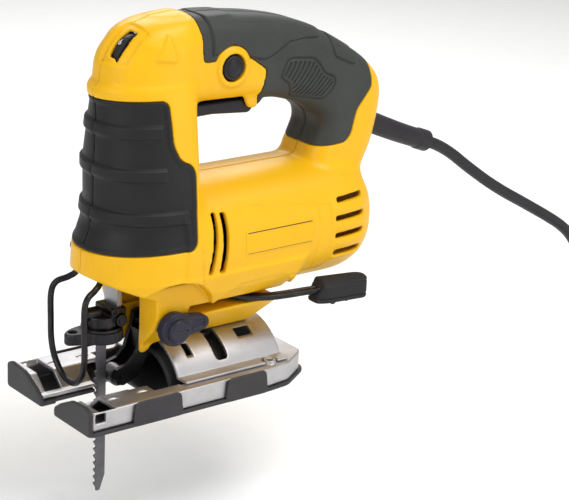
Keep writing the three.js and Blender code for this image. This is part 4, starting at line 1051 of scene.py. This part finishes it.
def make_plug(m, x, y):
    """A two-pin plug lying on the coil, its cord end at x."""
    g = Grid((x - 1, x + 65), (y - 11, y + 11), (PLUG_Z - 10.5, PLUG_Z + 10.5), 0.45)
    along = g.x - x
    half = 3.7 + 5.5 * np.clip(along / 13, 0, 1) ** 1.5
    body = np.maximum(np.sqrt((g.y - y) ** 2 + ((g.z - PLUG_Z) * 1.06) ** 2) - half, slab(along, (0, 43)))
    body = meet(body, slab(g.z, (PLUG_Z - 8.8, PLUG_Z + 8.8)), 1.5)
    for rib in (16.5, 20, 23.5, 27):
        groove = np.maximum(np.abs(along - rib) - 0.6, -body - 0.7)
        body = cut(body, groove, 0.4)
    pins = many([rod(g, "x", (x + 41, x + 63), (y + s, PLUG_Z), 2.2, 0.8) for s in (-5.5, 5.5)])
    body = union(body, pins, 0.3)
    return add_field("mains_plug", body, g, "frame", m["rubber"], "plug")


def make_tie(m):
    """A flat strap round the coil's section."""
    angle = math.radians(20)
    out = Vector((math.cos(angle), math.sin(angle), 0))
    along = Vector((-out.y, out.x, 0))
    loop = fillet([(22.9, -66.1), (52.2, -66.1), (52.2, -51.2), (22.9, -51.2)], 5, 6)
    vertices, faces = [], []
    for r, z in loop:
        grown = Vector((r - 37.5, z + 58.7)).normalized() * 0.9
        for u, v in ((r, z), (r + grown.x, z + grown.y)):
            for s in (-2.5, 2.5):
                p = Vector((COIL[0], COIL[1], 0)) + out * u + along * s
                vertices.append(place(p.x, p.y, max(v, -66.6)))
    count = len(loop)
    for i in range(count):
        a, b = i * 4, (i + 1) % count * 4
        for p, q in ((0, 1), (1, 3), (3, 2), (2, 0)):
            faces.append((a + p, a + q, b + q, b + p))
    mesh = bpy.data.meshes.new("cord_tie")
    mesh.from_pydata(vertices, [], faces)
    mesh.validate()
    return add_piece("cord_tie", mesh, "frame", m["rubber"])


# ---------------------------------------------------------------- carried-over parts
def dress_frame(m):
    """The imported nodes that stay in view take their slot's material."""
    by_slot = {
        "yellow_shell": "yellow", "soft_grip": "soft_grip", "handle_grip": "handle_grip", "label": "label",
        "screw_steel": "dark_steel", "black_plastic": "inner_black", "bright_steel": "steel",
        "lamination": "lamination", "copper": "copper", "brass": "brass", "carbon": "carbon",
        "circuit_board": "board", "cast_aluminium": "aluminium", "dark_steel": "dark_steel",
        "black_steel": "black_steel", "blue_grey_plastic": "blue_grey", "shoe_steel": "shoe_steel",
        "grey_plastic": "duct", "black_rubber": "rubber"}
    special = {"plunger": "plunger_steel", "clamp_spring": "black_steel", "clamp_screw": "black_steel",
               "trigger_spring": "spring", "roller_fork": "black_steel", "fork_pin": "black_steel"}
    for row in frame["record"]["subparts"]:
        node = row["node"]
        chosen = m[special.get(node, by_slot[row["material_slot"]])]
        mesh = frame["nodes"][node].data
        mesh.materials.clear()
        mesh.materials.append(chosen)


make_camera()
materials = make_materials()
make_cord(materials)
make_studio()
dress_frame(materials)
make_housing(materials)
make_label(materials)
make_trigger(materials)
make_lock_button(materials)
make_dial(materials)
make_guard(materials)
make_pendulum_lever(materials)
make_bevel_lever(materials)
make_lever_grip(materials)
make_clamp(materials)
make_blade(materials)
make_shoe_plate(materials)
make_shoe_bracket(materials)
make_shoe_cover(materials)
make_duct(materials)
